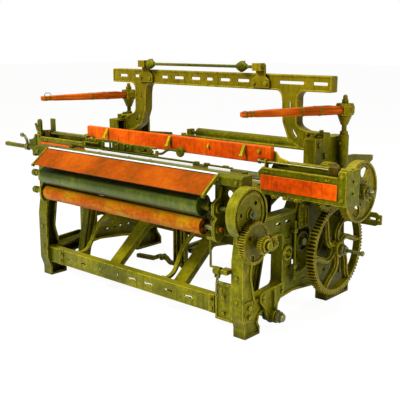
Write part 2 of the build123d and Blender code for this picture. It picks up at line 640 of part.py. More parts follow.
# Take-up wheels on the driving side
beam_wheel_r = TRAIN_MODULE * BEAM_WHEEL_TEETH / 2
beam_wheel_face = gear_face(BEAM_WHEEL_TEETH, TRAIN_MODULE, 0.5, -90)
beam_wheel_face -= Circle(ROLLER_SHAFT_R)
beam_wheel = along_x(Pos(TAKE_UP_Y, TAKE_UP_Z) * beam_wheel_face, *BEAM_WHEEL_X)
web_ring = Circle(beam_wheel_r - 14) - Circle(24)
beam_wheel -= along_x(Pos(TAKE_UP_Y, TAKE_UP_Z) * web_ring, BEAM_WHEEL_X[0], BEAM_WHEEL_X[0] + 16)
front_ring = Circle(beam_wheel_r - 10) - Circle(beam_wheel_r - 22)
beam_wheel -= along_x(Pos(TAKE_UP_Y, TAKE_UP_Z) * front_ring, BEAM_WHEEL_X[1] - 12, BEAM_WHEEL_X[1])
wheel_holes = Pos(42, 48) * Circle(13) + Pos(-70, 4) * Circle(13)
beam_wheel -= along_x(Pos(TAKE_UP_Y, TAKE_UP_Z) * wheel_holes, *BEAM_WHEEL_X)
save("beam_wheel", beam_wheel)

stud_wheel_r = TRAIN_MODULE * STUD_WHEEL_TEETH / 2
stud_face = gear_face(STUD_WHEEL_TEETH, TRAIN_MODULE, 0.5)
stud_face -= Pos(-44, 34) * Circle(17)
stud_face -= Pos(-24, -74) * Circle(17)
stud_wheel = along_x(Pos(TAKE_UP_Y, STUD_Z) * stud_face, *STUD_WHEEL_X)
stud_dish = Circle(stud_wheel_r - 12) - Circle(30)
stud_wheel -= along_x(Pos(TAKE_UP_Y, STUD_Z) * stud_dish, STUD_WHEEL_X[1] - 6, STUD_WHEEL_X[1])
stud_wheel += rod_x(TAKE_UP_Y, STUD_Z, 24, STUD_WHEEL_X[1] - 6, RATCHET_X[0])
small_face = gear_face(STUD_PINION_TEETH, TRAIN_MODULE, 0.5, 90 + 180 / STUD_PINION_TEETH)
stud_pinion = along_x(Pos(TAKE_UP_Y, STUD_Z) * small_face, BEAM_WHEEL_X[0], STUD_WHEEL_X[0])
ratchet_teeth = 26
ratchet_tip_r = 47
ratchet_root_r = 40
ratchet_undercut = 0.02
ratchet = []
for index in range(ratchet_teeth):
    tip = 2 * pi * index / ratchet_teeth
    root = tip + ratchet_undercut
    ratchet += [(ratchet_tip_r * cos(tip), ratchet_tip_r * sin(tip))]
    ratchet += [(ratchet_root_r * cos(root), ratchet_root_r * sin(root))]
ratchet_wheel = along_x(Pos(TAKE_UP_Y, STUD_Z) * make_face(Polyline(*ratchet, close=True)), *RATCHET_X)
ratchet_wheel += rod_x(TAKE_UP_Y, STUD_Z, 33, RATCHET_X[1], RATCHET_X[1] + 12)
ratchet_wheel -= rod_x(TAKE_UP_Y, STUD_Z, 24, RATCHET_X[1] - 4, RATCHET_X[1] + 12)
stud_bore = rod_x(TAKE_UP_Y, STUD_Z, STUD_R + RUN, BEAM_WHEEL_X[0], RATCHET_X[1] + 12)
stud_wheels = [wheel - stud_bore for wheel in (stud_wheel, stud_pinion, ratchet_wheel)]
save("stud_wheel", Compound(children=stud_wheels))

teeth_ahead = CHANGE_ANGLE * STUD_WHEEL_TEETH / 360 % 1
change_turn = 180 + CHANGE_ANGLE + (teeth_ahead - 0.5) * 360 / CHANGE_TEETH
change_face = gear_face(CHANGE_TEETH, TRAIN_MODULE, 0.5, change_turn)
change = along_x(Pos(CHANGE_Y, CHANGE_Z) * change_face, *STUD_WHEEL_X)
change += rod_x(CHANGE_Y, CHANGE_Z, 20, FRAME_OUT_X + 16, STUD_WHEEL_X[0])
change += rod_x(CHANGE_Y, CHANGE_Z, 22, STUD_WHEEL_X[1], STUD_WHEEL_X[1] + 8)
change -= rod_x(CHANGE_Y, CHANGE_Z, STUD_R + RUN, FRAME_OUT_X, 980)
save("change_pinion", change)

# Wheel bracket on the outer face of the frame with the two studs, and the guard over the beam wheel
wheel_plate = rounded([
    (60, 470, 10), (112, 500, 16), (112, 600, 16), (60, 622, 10), (40, 640, 30), (0, 726, 20),
    (-50, 742, 26), (-92, 716, 30), (-92, 640, 30), (-82, 560, 20), (-82, 520, 26), (-46, 502, 20),
    (10, 470, 20),
])
wheel_plate_x = FRAME_OUT_X + WHEEL_PLATE_T
wheel_bracket = along_x(wheel_plate, FRAME_OUT_X, wheel_plate_x)
wheel_bracket -= rod_x(TAKE_UP_Y, TAKE_UP_Z, ROLLER_SHAFT_R + RUN, FRAME_OUT_X, wheel_plate_x)
wheel_bracket += rod_x(TAKE_UP_Y, STUD_Z, STUD_R, wheel_plate_x, STUD_END_X)
wheel_bracket += rod_x(TAKE_UP_Y, STUD_Z, 18, RATCHET_X[1] + 12 + SIDE, STUD_END_X + 6)
wheel_bracket += rod_x(CHANGE_Y, CHANGE_Z, STUD_R, wheel_plate_x, CHANGE_END_X)
wheel_bracket += rod_x(CHANGE_Y, CHANGE_Z, 17, STUD_WHEEL_X[1] + 8 + SIDE, CHANGE_END_X - 4)

guard_in_r = beam_wheel_r + 8
guard_ring = Circle(guard_in_r + 3.5) - Circle(guard_in_r)
guard_cut = Rot(0, 0, -128) * Pos(100, 0) * Rectangle(200, 200)
guard_cut += Rot(0, 0, -60) * Pos(100, 0) * Rectangle(200, 200)
guard = along_x(Pos(TAKE_UP_Y, TAKE_UP_Z) * (guard_ring - guard_cut), wheel_plate_x, BEAM_WHEEL_X[1] + 6)
guard_turn = Rot(0, 0, 78)
guard_arm = guard_turn * Pos(guard_in_r / 2 + 10, 0) * Rectangle(guard_in_r - 16, 26)
guard += along_x(Pos(TAKE_UP_Y, TAKE_UP_Z) * guard_arm, wheel_plate_x, wheel_plate_x + 6)
guard_foot = guard_turn * Pos(43, 0) * Rectangle(30, 26)
guard += along_x(Pos(TAKE_UP_Y, TAKE_UP_Z) * guard_foot, wheel_plate_x, wheel_plate_x + 6)
save("wheel_bracket", wheel_bracket + guard)

# Crankshaft with two throws
web_reach = 25 + CRANK_WEB_T / 2
stub_x = CRANK_END_X - 30
crankshaft = rod_x(CRANK_Y, CRANK_Z, JOURNAL_R, CRANK_START_X, -THROW_X - web_reach)
crankshaft += rod_x(CRANK_Y, CRANK_Z, JOURNAL_R, -THROW_X + web_reach, THROW_X - web_reach)
crankshaft += rod_x(CRANK_Y, CRANK_Z, JOURNAL_R, THROW_X + web_reach, stub_x)
crankshaft += rod_x(CRANK_Y, CRANK_Z, JOURNAL_R - 6, stub_x, CRANK_END_X)
web_outline = bar_between((CRANK_Y, CRANK_Z), (CRANK_Y + THROW, CRANK_Z), 74, 66)
for side in (-1, 1):
    for face in (-1, 1):
        inner = side * THROW_X + face * (ARM_T / 2 + SIDE)
        outer = inner + face * CRANK_WEB_T
        crankshaft += along_x(web_outline, min(inner, outer), max(inner, outer))
    pin_half = ARM_T / 2 + SIDE + 2
    pin_x = side * THROW_X
    crankshaft += rod_x(CRANK_Y + THROW, CRANK_Z, CRANKPIN_R, pin_x - pin_half, pin_x + pin_half)
for x in (CRANK_START_X, -FRAME_OUT_X - 12):
    crankshaft += rod_x(CRANK_Y, CRANK_Z, 36, x, x + 10)
save("crankshaft", crankshaft)

wheel_angle = degrees(atan2(CRANK_Z - TAPPET_Z, CRANK_Y - TAPPET_Y))
crank_pinion_face = gear_face(PINION_TEETH, MODULE, 0.7, wheel_angle - 180)
crank_pinion_face -= Circle(JOURNAL_R)
crank_pinion = along_x(Pos(CRANK_Y, CRANK_Z) * crank_pinion_face, *WHEEL_X)
pinion_dish = Circle(PINION_TEETH * MODULE / 2 - 22) - Circle(46)
for x0, x1 in ((WHEEL_X[0], WHEEL_X[0] + 12), (WHEEL_X[1] - 12, WHEEL_X[1])):
    crank_pinion -= along_x(Pos(CRANK_Y, CRANK_Z) * pinion_dish, x0, x1)
crank_pinion += rod_x(CRANK_Y, CRANK_Z, 42, WHEEL_X[1], WHEEL_X[1] + 22)
crank_pinion -= rod_x(CRANK_Y, CRANK_Z, JOURNAL_R, WHEEL_X[0], WHEEL_X[1] + 22)
save("crank_pinion", crank_pinion)

# Flywheel with pierced web
fly_face = Circle(FLYWHEEL_R) - Circle(JOURNAL_R)
flywheel = along_x(Pos(CRANK_Y, CRANK_Z) * fly_face, *FLYWHEEL_X)
fly_dish = Circle(FLYWHEEL_R - 11) - Circle(40)
flywheel -= along_x(Pos(CRANK_Y, CRANK_Z) * fly_dish, FLYWHEEL_X[0], FLYWHEEL_X[1] - 24)
flywheel -= along_x(Pos(CRANK_Y, CRANK_Z) * fly_dish, FLYWHEEL_X[1] - 10, FLYWHEEL_X[1])
pierced = ring_of(Circle(34), 4, 108, 74)
pierced += ring_of(Circle(9), 6, 72, 38)
pierced += ring_of(SlotOverall(46, 14), 4, 118, 330)
flywheel -= along_x(Pos(CRANK_Y, CRANK_Z) * pierced, *FLYWHEEL_X)
flywheel += rod_x(CRANK_Y, CRANK_Z, 40, FLYWHEEL_X[1] - 10, FLYWHEEL_X[1] + 34)
flywheel -= rod_x(CRANK_Y, CRANK_Z, JOURNAL_R, FLYWHEEL_X[0] - 5, FLYWHEEL_X[1] + 40)
save("flywheel", flywheel)

# Crank arms: bushed links from the crankpins to the sword pins
arm_start = (CRANK_Y + THROW, CRANK_Z)
arm_end = (SWORD_PIN_Y, SWORD_PIN_Z)
arm_length = hypot(arm_start[0] - arm_end[0], arm_start[1] - arm_end[1])
arm_angle = degrees(atan2(arm_end[1] - arm_start[1], arm_end[0] - arm_start[0]))
arm_recess = 13
arm_face = bar_between(arm_start, arm_end, 46, 36)
arm_face += Pos(*arm_start) * Circle(ARM_EYE_R)
arm_face += Pos(*arm_end) * Circle(SMALL_EYE_R)


def crank_arm(side):
    x0 = side * THROW_X - ARM_T / 2
    arm = along_x(arm_face, x0, x0 + ARM_T)
    panel = Pos(*arm_start) * Rot(0, 0, arm_angle) * Pos(arm_length / 2, 0)
    panel = panel * RectangleRounded(arm_length - 118, 20, 8)
    arm -= along_x(panel, x0, x0 + arm_recess)
    arm -= along_x(panel, x0 + ARM_T - arm_recess, x0 + ARM_T)
    arm -= rod_x(*arm_start, CRANKPIN_R + RUN, x0, x0 + ARM_T)
    inner = x0 if side > 0 else x0 + ARM_T
    arm += hex_x(*arm_end, 34, *sorted((inner, inner - side * 12)))
    return arm


save("crank_arm_right", crank_arm(1))
save("crank_arm_left", crank_arm(-1))

# Tappet shaft with the big wheel
tappet_shaft = rod_x(TAPPET_Y, TAPPET_Z, TAPPET_SHAFT_R, *TAPPET_SHAFT_X)
tappet_shaft += rod_x(TAPPET_Y, TAPPET_Z, 10, TAPPET_SHAFT_X[1], TAPPET_END_X)
tappet_shaft += rod_x(TAPPET_Y, TAPPET_Z, 34, TAPPET_SHAFT_X[0], TAPPET_SHAFT_X[0] + 10)
save("tappet_shaft", tappet_shaft)

wheel_r = WHEEL_TEETH * MODULE / 2
tooth_step = 360 / WHEEL_TEETH
rim_in_r = wheel_r - 24
arm_line = Spline((30, -6), (104, 34), (160, 6), (rim_in_r + 6, -28))
arms = ring_of(trace(arm_line, 30), 6, 0, 10) + Circle(52)
arm_ribs = ring_of(trace(arm_line, 10), 6, 0, 10)
rim_face = gear_face(WHEEL_TEETH, MODULE, 0.7, wheel_angle + tooth_step / 2) - Circle(rim_in_r)
spider = along_x(Pos(TAPPET_Y, TAPPET_Z) * arms, WHEEL_X[0] + 12, WHEEL_X[1] - 14)
spider += along_x(Pos(TAPPET_Y, TAPPET_Z) * arm_ribs, WHEEL_X[0] + 2, WHEEL_X[1] - 4)
spider += rod_x(TAPPET_Y, TAPPET_Z, 44, WHEEL_X[0], WHEEL_X[1] + 14)
spider -= rod_x(TAPPET_Y, TAPPET_Z, TAPPET_SHAFT_R, WHEEL_X[0], WHEEL_X[1] + 14)
tappet_wheel = spider + along_x(Pos(TAPPET_Y, TAPPET_Z) * rim_face, *WHEEL_X)
save("tappet_wheel", tappet_wheel)

# Picking tappets, one outside each frame, half a turn apart
def picking_tappet(angle):
    nose = rounded([
        (-30, 0, 0), (0, -TAPPET_BASE_R, 0), (52, -40, 10), (108, -12, 9),
        (108, 14, 9), (40, 44, 14), (0, TAPPET_BASE_R, 0),
    ])
    plate = (Circle(TAPPET_BASE_R) + nose) - Circle(TAPPET_SHAFT_R)
    return Pos(TAPPET_Y, TAPPET_Z) * Rot(0, 0, angle) * plate


tappet_x = (FRAME_OUT_X + 6, FRAME_OUT_X + 30)
picking_tappets = along_x(picking_tappet(200), *tappet_x)
picking_tappets += along_x(picking_tappet(20), -tappet_x[1], -tappet_x[0])

# Shedding tappets in the middle of the shaft
shed_base = Circle(TAPPET_BASE_R) + Pos(TAPPET_LIFT_R - TAPPET_BASE_R, 0) * Circle(TAPPET_BASE_R)
shed_base = make_hull(shed_base.edges()) - Circle(TAPPET_SHAFT_R)
shedding_tappets = Part()
for x, turn in ((TREADLE_X, -90), (-TREADLE_X, 90)):
    placed = Pos(TAPPET_Y, TAPPET_Z) * Rot(0, 0, turn) * shed_base
    shedding_tappets += along_x(placed, x - 11, x + 11)
shedding_tappets += rod_x(TAPPET_Y, TAPPET_Z, 36, -TREADLE_X, TREADLE_X)
shedding_tappets -= rod_x(TAPPET_Y, TAPPET_Z, TAPPET_SHAFT_R, -TREADLE_X, TREADLE_X)
save("tappets", shedding_tappets + picking_tappets)


# Treadles with their bowls under the tappets
bowl_z = TAPPET_Z - TAPPET_LIFT_R - BOWL_R - GAP
bar_face = rounded([
    (TREADLE_TIP_Y, bowl_z - 34, 8), (TAPPET_Y, bowl_z - 38, 60),
    (TREADLE_PIVOT_Y, TREADLE_PIVOT_Z - 20, 3), (TREADLE_PIVOT_Y, TREADLE_PIVOT_Z + 20, 3),
    (TAPPET_Y, bowl_z + 4, 40), (TREADLE_TIP_Y, bowl_z - 4, 8),
])


def treadle(x):
    body = along_x(bar_face, x - TREADLE_W / 2, x + TREADLE_W / 2)
    body += rod_x(TREADLE_PIVOT_Y, TREADLE_PIVOT_Z, 22, x - TREADLE_W / 2 - 6, x + TREADLE_W / 2 + 6)
    body -= rod_x(TREADLE_PIVOT_Y, TREADLE_PIVOT_Z, TREADLE_PIN_R + RUN, x - 40, x + 40)
    body -= rod_x(TAPPET_Y, bowl_z, BOWL_R + 3, x - 12, x + 12)
    body += rod_x(TAPPET_Y, bowl_z, BOWL_R, x - 11, x + 11)
    body += rod_x(TAPPET_Y, bowl_z, 8, x - TREADLE_W / 2 - 5, x + TREADLE_W / 2 + 5)
    for y in (14, 44, 74):
        body -= rod_x(TREADLE_TIP_Y + y, bowl_z - 19, 5, x - 20, x + 20)
    return body


save("treadle_right", treadle(TREADLE_X))
save("treadle_left", treadle(-TREADLE_X))

# Rocking shaft in its brackets under the frames
rocking = rod_x(ROCK_Y, ROCK_Z, ROCK_R, -ROCK_END_X, ROCK_END_X)
rocking = chamfer(rocking.edges().filter_by(GeomType.CIRCLE), 3)
for x in (-910, 892):
    rocking += rod_x(ROCK_Y, ROCK_Z, 31, x, x + 18)
save("rocking_shaft", rocking)

rock_plate = rounded([
    (110, 214, 8), (140, 226, 8), (318, 236, 8), (322, 186, 20), (268, 130, 14), (262, 62, 22),
    (232, 38, 20), (200, 40, 20), (176, 66, 20), (152, 132, 30), (112, 176, 8),
])
rock_plate_x = FRAME_OUT_X + ROCK_PLATE_T
rock_bracket = along_x(rock_plate, FRAME_OUT_X, rock_plate_x)
rock_bracket += rod_x(ROCK_Y, ROCK_Z, 36, FRAME_OUT_X - 30, FRAME_OUT_X + 44)
rock_rib = rounded([
    (ROCK_Y - 6, ROCK_Z, 0), (ROCK_Y + 6, ROCK_Z, 0), (ROCK_Y + 6, 220, 3), (ROCK_Y - 6, 220, 3),
])
rock_bracket += along_x(rock_rib, rock_plate_x, rock_plate_x + 16)
rock_bracket -= rod_x(ROCK_Y, ROCK_Z, ROCK_R + RUN, 780, 900)
for y, z in ((134, 202), (296, 214), (296, 190), (134, 180)):
    rock_bracket += hex_x(y, z, 18, rock_plate_x, rock_plate_x + 9)
save("rocking_brackets", both(rock_bracket))

# Swords: tapered ribbed castings clamped to the rocking shaft
sword_outline = rounded([
    (ROCK_Y - 34, ROCK_Z, 0), (ROCK_Y + 34, ROCK_Z, 0), (ROCK_Y + 50, 150, 40),
    (368, SWORD_PIN_Z, 60), (392, SLEY_Z[0], 3), (298, SLEY_Z[0], 3),
    (290, SWORD_PIN_Z, 60), (ROCK_Y - 26, 150, 40),
])
sword_hub = Pos(ROCK_Y, ROCK_Z) * Circle(42)


def sword():
    body = along_x(sword_outline + sword_hub, SWORD_X - SWORD_T / 2, SWORD_X + SWORD_T / 2)
    recess = offset(sword_outline, -11) - Pos(ROCK_Y, ROCK_Z) * Circle(52)
    recess -= Pos(SWORD_PIN_Y, SWORD_PIN_Z) * Circle(30)
    body -= along_x(recess, SWORD_X - SWORD_T / 2, SWORD_X - 7)
    body -= along_x(recess, SWORD_X + 7, SWORD_X + SWORD_T / 2)
    middle_rib = bar_between((ROCK_Y + 8, 150), (344, 690), 10, 10)
    body += along_x(middle_rib, SWORD_X - SWORD_T / 2 + 3, SWORD_X + SWORD_T / 2 - 3)
    body += rod_x(SWORD_PIN_Y, SWORD_PIN_Z, SMALL_EYE_R, THROW_X + ARM_T / 2 + SIDE, SWORD_X)
    body -= rod_x(SWORD_PIN_Y, SWORD_PIN_Z, 12, THROW_X, SWORD_X + SWORD_T)
    body -= rod_x(ROCK_Y, ROCK_Z, ROCK_R, SWORD_X - 50, SWORD_X + 50)
    return body


save("swords", both(sword()))

# Sley beam with the race board
sley_face = rounded([
    (SLEY_FRONT_Y, SLEY_Z[0], 3), (SLEY_BACK_Y, SLEY_Z[0], 3),
    (SLEY_BACK_Y, SLEY_Z[1], 2), (SLEY_FRONT_Y, SLEY_Z[1], 2),
])
sley_beam = along_x(sley_face, -SLEY_END_X, SLEY_END_X)
reed_x = (-BOX_IN_X + 30, BOX_IN_X - 30)
reed_groove = Pos(CAP_MID_Y, SLEY_Z[1]) * Rectangle(10, 16)
sley_beam -= along_x(reed_groove, *reed_x)
save("sley_beam", sley_beam)

# Reed cap with end brackets, hooks and knob
cap_face = rounded([
    (CAP_Y[0], CAP_Z[0], 3), (CAP_Y[1], CAP_Z[0], 3), (CAP_Y[1], CAP_Z[1], 8), (CAP_Y[0], CAP_Z[1], 5),
])
reed_cap = along_x(cap_face, -CAP_X, CAP_X)
cap_groove = Pos(CAP_MID_Y, CAP_Z[0]) * Rectangle(10, 24)
reed_cap -= along_x(cap_groove, *reed_x)
save("reed_cap", reed_cap)

hook_face = rounded([
    (CAP_Y[0], 936, 2), (CAP_Y[0], 952, 3), (CAP_Y[0] - 10, 954, 5),
    (290, 906, 6), (284, 896, 4), (296, 892, 4),
])
hooks = Part()
for x in (-548, 8, 568):
    hooks += along_x(hook_face, x, x + 14)
    hooks += rod_x(290, 897, 7, x - 4, x + 18)
small_hook = rounded([
    (CAP_Y[0], 918, 2), (CAP_Y[0], 936, 2), (CAP_Y[0] - 6, 936, 2), (308, 914, 3), (312, 908, 2),
])
hooks += along_x(small_hook, 312, 320)
hooks += rod_y(674, 928, 9, CAP_Y[0] - 12, CAP_Y[0])

cap_end_face = rounded([
    (CAP_X - 30, 930, 6), (CAP_X + 6, 930, 12), (CAP_X + 30, 900, 18), (CAP_X + 84, 888, 10),
    (CAP_X + 84, 862, 3), (CAP_X + 22, 862, 18), (CAP_X - 30, 896, 3),
])
cap_end = along_y(cap_end_face, CAP_Y[1], CAP_Y[1] + 12)
save("cap_fittings", hooks + both(cap_end))


# Shuttle boxes: back plate, front plate with top flange, end post
def shuttle_box():
    front_y = SLEY_FRONT_Y - BOX_PLATE_T
    spindle_lug_x = (BOX_IN_X + 6, BOX_IN_X + 14)
    back_face = rounded([
        (BOX_IN_X, SLEY_Z[1], 0), (SLEY_END_X, SLEY_Z[1], 0), (SLEY_END_X, BOX_BACK_Z, 8),
        (BOX_IN_X + 20, BOX_BACK_Z, 14), (BOX_IN_X, 840, 20),
    ])
    box = along_y(back_face, CAP_Y[1] + 12, CAP_Y[1] + 24)
    box += block((BOX_IN_X + 30, SLEY_END_X), (CAP_Y[1] + 12, SLEY_BACK_Y), (BOX_BACK_Z - 10, BOX_BACK_Z))
    front_face = rounded([
        (BOX_IN_X, SLEY_Z[0], 0), (SLEY_END_X, SLEY_Z[0], 0), (SLEY_END_X, BOX_TOP_Z, 6),
        (BOX_IN_X + 6, BOX_TOP_Z, 14), (BOX_IN_X - 22, BOX_TOP_Z - 26, 14), (BOX_IN_X, SLEY_Z[1] + 30, 10),
    ])
    box += along_y(front_face, front_y, SLEY_FRONT_Y)
    box += block((BOX_IN_X + 6, SLEY_END_X), (front_y - 4, SLEY_FRONT_Y + 8), (BOX_TOP_Z - 7, BOX_TOP_Z))
    post = rounded([
        (SLEY_END_X, SLEY_Z[0], 3), (BOX_POST_X, SLEY_Z[0], 3),
        (BOX_POST_X, BOX_POST_Z, 12), (SLEY_END_X, BOX_POST_Z, 12),
    ])
    box += along_y(post, front_y, SLEY_BACK_Y)
    post_hollow_y = (SLEY_FRONT_Y + 4, SLEY_BACK_Y - 12)
    box -= block((SLEY_END_X, BOX_POST_X - 12), post_hollow_y, (SLEY_Z[1] + 6, BOX_POST_Z))
    for x in (BOX_IN_X + 24, BOX_IN_X + 40, SLEY_END_X - 66, SLEY_END_X - 50):
        box += hex_y(x, BOX_TOP_Z - 20, 11, front_y - 6, front_y)
    for x in (790, 862, 934):
        box += block((x, x + 34), (SLEY_FRONT_Y - 8, SLEY_FRONT_Y + 22), (SLEY_Z[0] - 14, SLEY_Z[0]))
        box += rod_y(x + 17, SLEY_Z[0] - 7, 9, SLEY_FRONT_Y - 14, SLEY_FRONT_Y - 8)
    box += block(spindle_lug_x, (SPINDLE_Y - 14, SPINDLE_Y + 14), (BOX_TOP_Z, SPINDLE_Z + 14))
    box += block(spindle_lug_x, (front_y, SPINDLE_Y + 14), (BOX_TOP_Z - 7, BOX_TOP_Z + 3))
    box += block((SLEY_END_X, BOX_POST_X), (SPINDLE_Y - 16, SPINDLE_Y + 16), (864, SPINDLE_Z + 14))
    box -= rod_x(SPINDLE_Y, SPINDLE_Z, SPINDLE_R, BOX_IN_X - 20, SLEY_END_X + 20)
    return box


box_right = shuttle_box()
box_left = mirror(box_right, Plane.YZ)
box_left += block((-BOX_POST_X, -SLEY_END_X), (SLEY_BACK_Y - 12, SLEY_BACK_Y), (880, 966))
box_left += rod_z(-BOX_POST_X + 12, SLEY_FRONT_Y + 4, 5, 880, 948)
save("shuttle_box_right", box_right)
save("shuttle_box_left", box_left)

panel_face = Pos((BOX_IN_X + SLEY_END_X) / 2, sum(PANEL_Z) / 2)
panel_face = panel_face * RectangleRounded(SLEY_END_X - BOX_IN_X - 4, PANEL_Z[1] - PANEL_Z[0], 3)
panel_back_y = SLEY_FRONT_Y - BOX_PLATE_T
save("box_panels", both(along_y(panel_face, panel_back_y - PANEL_T, panel_back_y)))

spindle = rod_x(SPINDLE_Y, SPINDLE_Z, SPINDLE_R, BOX_IN_X - 26, SLEY_END_X + 14)
spindle += Pos(BOX_IN_X - 36, SPINDLE_Y, SPINDLE_Z) * Rot(0, 90, 0) * Sphere(15)
save("picker_spindles", both(spindle))

picker = block(PICKER_X, (SPINDLE_Y - 17, SPINDLE_Y + 17), (SLEY_Z[1] + 12, SPINDLE_Z + 20))
picker = fillet(picker.edges().filter_by(Axis.Y), 9)
picker -= rod_x(SPINDLE_Y, SPINDLE_Z, SPINDLE_R + RUN, PICKER_X[0] - 20, PICKER_X[1] + 8)
picker -= rod_x(SPINDLE_Y + 4, 800, 9, PICKER_X[0] - 20, PICKER_X[0] + 14)
save("pickers", both(picker))

# Picking shafts: upright shaft, serrated head, cone and nut
def picking_shaft():
    shaft = rod_z(PICK_X, PICK_Y, PICK_R, 490, 1172)
    shaft += rod_z(PICK_X, PICK_Y, 22, PICK_HOUSING_Z[1] + 10 + SIDE, PICK_HOUSING_Z[1] + 22)
    half_stick = STICK_T / 2
    head_z = STICK_Z - 30
    head_r = 48
    cone = Pos(PICK_X, PICK_Y, head_z - 28) * Cone(20, 42, 56)
    head = rod_z(PICK_X, PICK_Y, head_r, head_z, STICK_Z - half_stick)
    upper = rod_z(PICK_X, PICK_Y, head_r, STICK_Z + half_stick, STICK_Z + STICK_T)
    shaft += cone + head + upper
    shaft += hex_z(PICK_X, PICK_Y, 36, STICK_Z + STICK_T, STICK_Z + STICK_T + 22)
    shaft += Pos(PICK_X - 24, PICK_Y, 516) * Rot(0, 90, 0) * Cone(11, 18, 28)
    return shaft


save("picking_shaft_right", picking_shaft())
save("picking_shaft_left", mirror(picking_shaft(), Plane.YZ))


def picking_stick(lean):
    """Tapered wooden stick pointing forward, turned by lean about the upright shaft."""
    outline = make_face(Polyline(
        (-30, 40), (30, 40), (34, -60), (15, -STICK_LEN + 60), (12, -STICK_LEN),
        (-12, -STICK_LEN), (-15, -STICK_LEN + 60), (-34, -60), close=True,
    ))
    stick = extrude(outline, STICK_T)
    stick = fillet(stick.edges().filter_by(Axis.Z), 6)
    stick -= Cylinder(PICK_R, 200)
    for y, wide in ((-STICK_LEN + 22, 27), (-STICK_LEN + 44, 28), (-190, 64)):
        stick += Pos(0, y, STICK_T / 2) * Box(wide + 5, 7, STICK_T + 4)
    stick += Pos(0, -STICK_LEN + 40, STICK_T / 2) * Rot(0, 90, 0) * Cylinder(4, 50)
    return Pos(0, 0, STICK_Z - STICK_T / 2) * Rot(0, 0, lean) * stick


save("picking_stick_right", Pos(PICK_X, PICK_Y, 0) * picking_stick(STICK_LEAN_R))
save("picking_stick_left", Pos(-PICK_X, PICK_Y, 0) * picking_stick(STICK_LEAN_L))

# Heald roller on the arch
heald = rod_x(HEALD_Y, HEALD_Z, HEALD_R, HEALD_X[0] - 60, HEALD_X[1] + 160)
for x in HEALD_X:
    heald += Pos(x, HEALD_Y, HEALD_Z) * Rot(0, 90, 0) * Sphere(31)
save("heald_roller", heald)

heald_foot = rounded([
    (-62, 1236, 8), (62, 1236, 8), (62, 1282, 12), (34, 1300, 14), (30, 1378, 14), (-30, 1378, 14),
    (-34, 1300, 14), (-62, 1282, 12),
])
heald_bracket = along_y(heald_foot, ARCH_Y[0] - 14, ARCH_Y[0])
heald_bracket += along_y(Pos(0, HEALD_Z) * Rectangle(60, 44), HEALD_Y - 22, ARCH_Y[0] - 14)
heald_bracket -= rod_x(HEALD_Y, HEALD_Z, HEALD_R + RUN, -100, 100)
for x in (-44, 44):
    heald_bracket += hex_y(x, 1262, 20, ARCH_Y[0] - 26, ARCH_Y[0] - 14)
heald_left = Pos(HEALD_X[0] - 66, 0, 0) * heald_bracket
heald_right = Pos(HEALD_X[1] + 122, 0, 0) * heald_bracket
save("heald_brackets", heald_left + heald_right)

# Back rest: roller, its brackets and the tie rod in front of it
back_rest = rod_x(BACK_REST_Y, BACK_REST_Z, BACK_REST_R, -BACK_REST_HALF, BACK_REST_HALF)
back_rest = fillet(back_rest.edges().filter_by(GeomType.CIRCLE), 6)
back_rest += rod_x(BACK_REST_Y, BACK_REST_Z, BACK_SHAFT_R, -642, 642)
save("back_rest_roller", back_rest)

rest_arm = rounded([
    (880, 700, 10), (912, 690, 10), (1240, 790, 14), (1240, 822, 8), (1010, 852, 20),
    (930, 852, 8), (880, 780, 10),
])
rest_bracket = along_x(rest_arm, FRAME_OUT_X, FRAME_OUT_X + 12)
rest_bracket += block((REST_BLOCK_X[0] - 4, FRAME_OUT_X), (1160, 1240), REST_LEDGE_Z)
rest_block_y = (BACK_REST_Y - 26, BACK_REST_Y + 26)
rest_bracket += block(REST_BLOCK_X, rest_block_y, (REST_LEDGE_Z[1], BACK_REST_Z + 24))
rest_bracket += block(REST_BLOCK_X, (TIE_Y - 8, 1160), REST_LEDGE_Z)
rest_bracket += block(REST_BLOCK_X, (TIE_Y - 12, TIE_Y + 12), (REST_LEDGE_Z[1], TIE_Z + 18))
rest_bracket -= rod_x(BACK_REST_Y, BACK_REST_Z, BACK_SHAFT_R + RUN, 560, 700)
rest_bracket -= rod_x(TIE_Y, TIE_Z, TIE_R, 600, 640)
for y, z in ((902, 720), (902, 772)):
    rest_bracket += hex_x(y, z, 22, FRAME_OUT_X + 12, FRAME_OUT_X + 24)
save("back_rest_brackets", both(rest_bracket) + rod_x(TIE_Y, TIE_Z, TIE_R, -640, 640))

# Guide bracket at the rear of the driving side
guide_face = rounded([
    (FRAME_OUT_X, 448, 3), (1030, 448, 8), (1046, 458, 3), (1066, 458, 6), (1066, 516, 6), (1046, 516, 3),
    (1030, 528, 8), (FRAME_OUT_X, 528, 3),
])
guide_face -= slot(1010, 490, 40, 15)
guide_face -= Pos(1050, 487) * Circle(6)
guide = along_y(guide_face, 984, 996)
guide += block((FRAME_OUT_X, FRAME_OUT_X + 10), (924, 984), (452, 524))
save("rear_guide", guide)

# Slotted guide with its rod and the drum below it on the outer face of the driving-side frame
guide_plate_face = rounded([
    (448, 506, 8), (540, 506, 8), (540, 648, 12), (520, 656, 10), (470, 652, 16), (448, 620, 10),
])
guide_plate_x = FRAME_OUT_X + 12
slotted = along_x(guide_plate_face, FRAME_OUT_X, guide_plate_x)
slotted += along_x(slot(512, 572, 116, 30, 90), guide_plate_x, guide_plate_x + 10)
slotted -= along_x(slot(512, 572, 94, 14, 90), guide_plate_x - 8, guide_plate_x + 10)
for z in (530, 552, 574, 596):
    slotted += rod_x(468, z, 5, guide_plate_x, guide_plate_x + 5)
slotted += rod_x(476, 632, 8, guide_plate_x, guide_plate_x + 8)

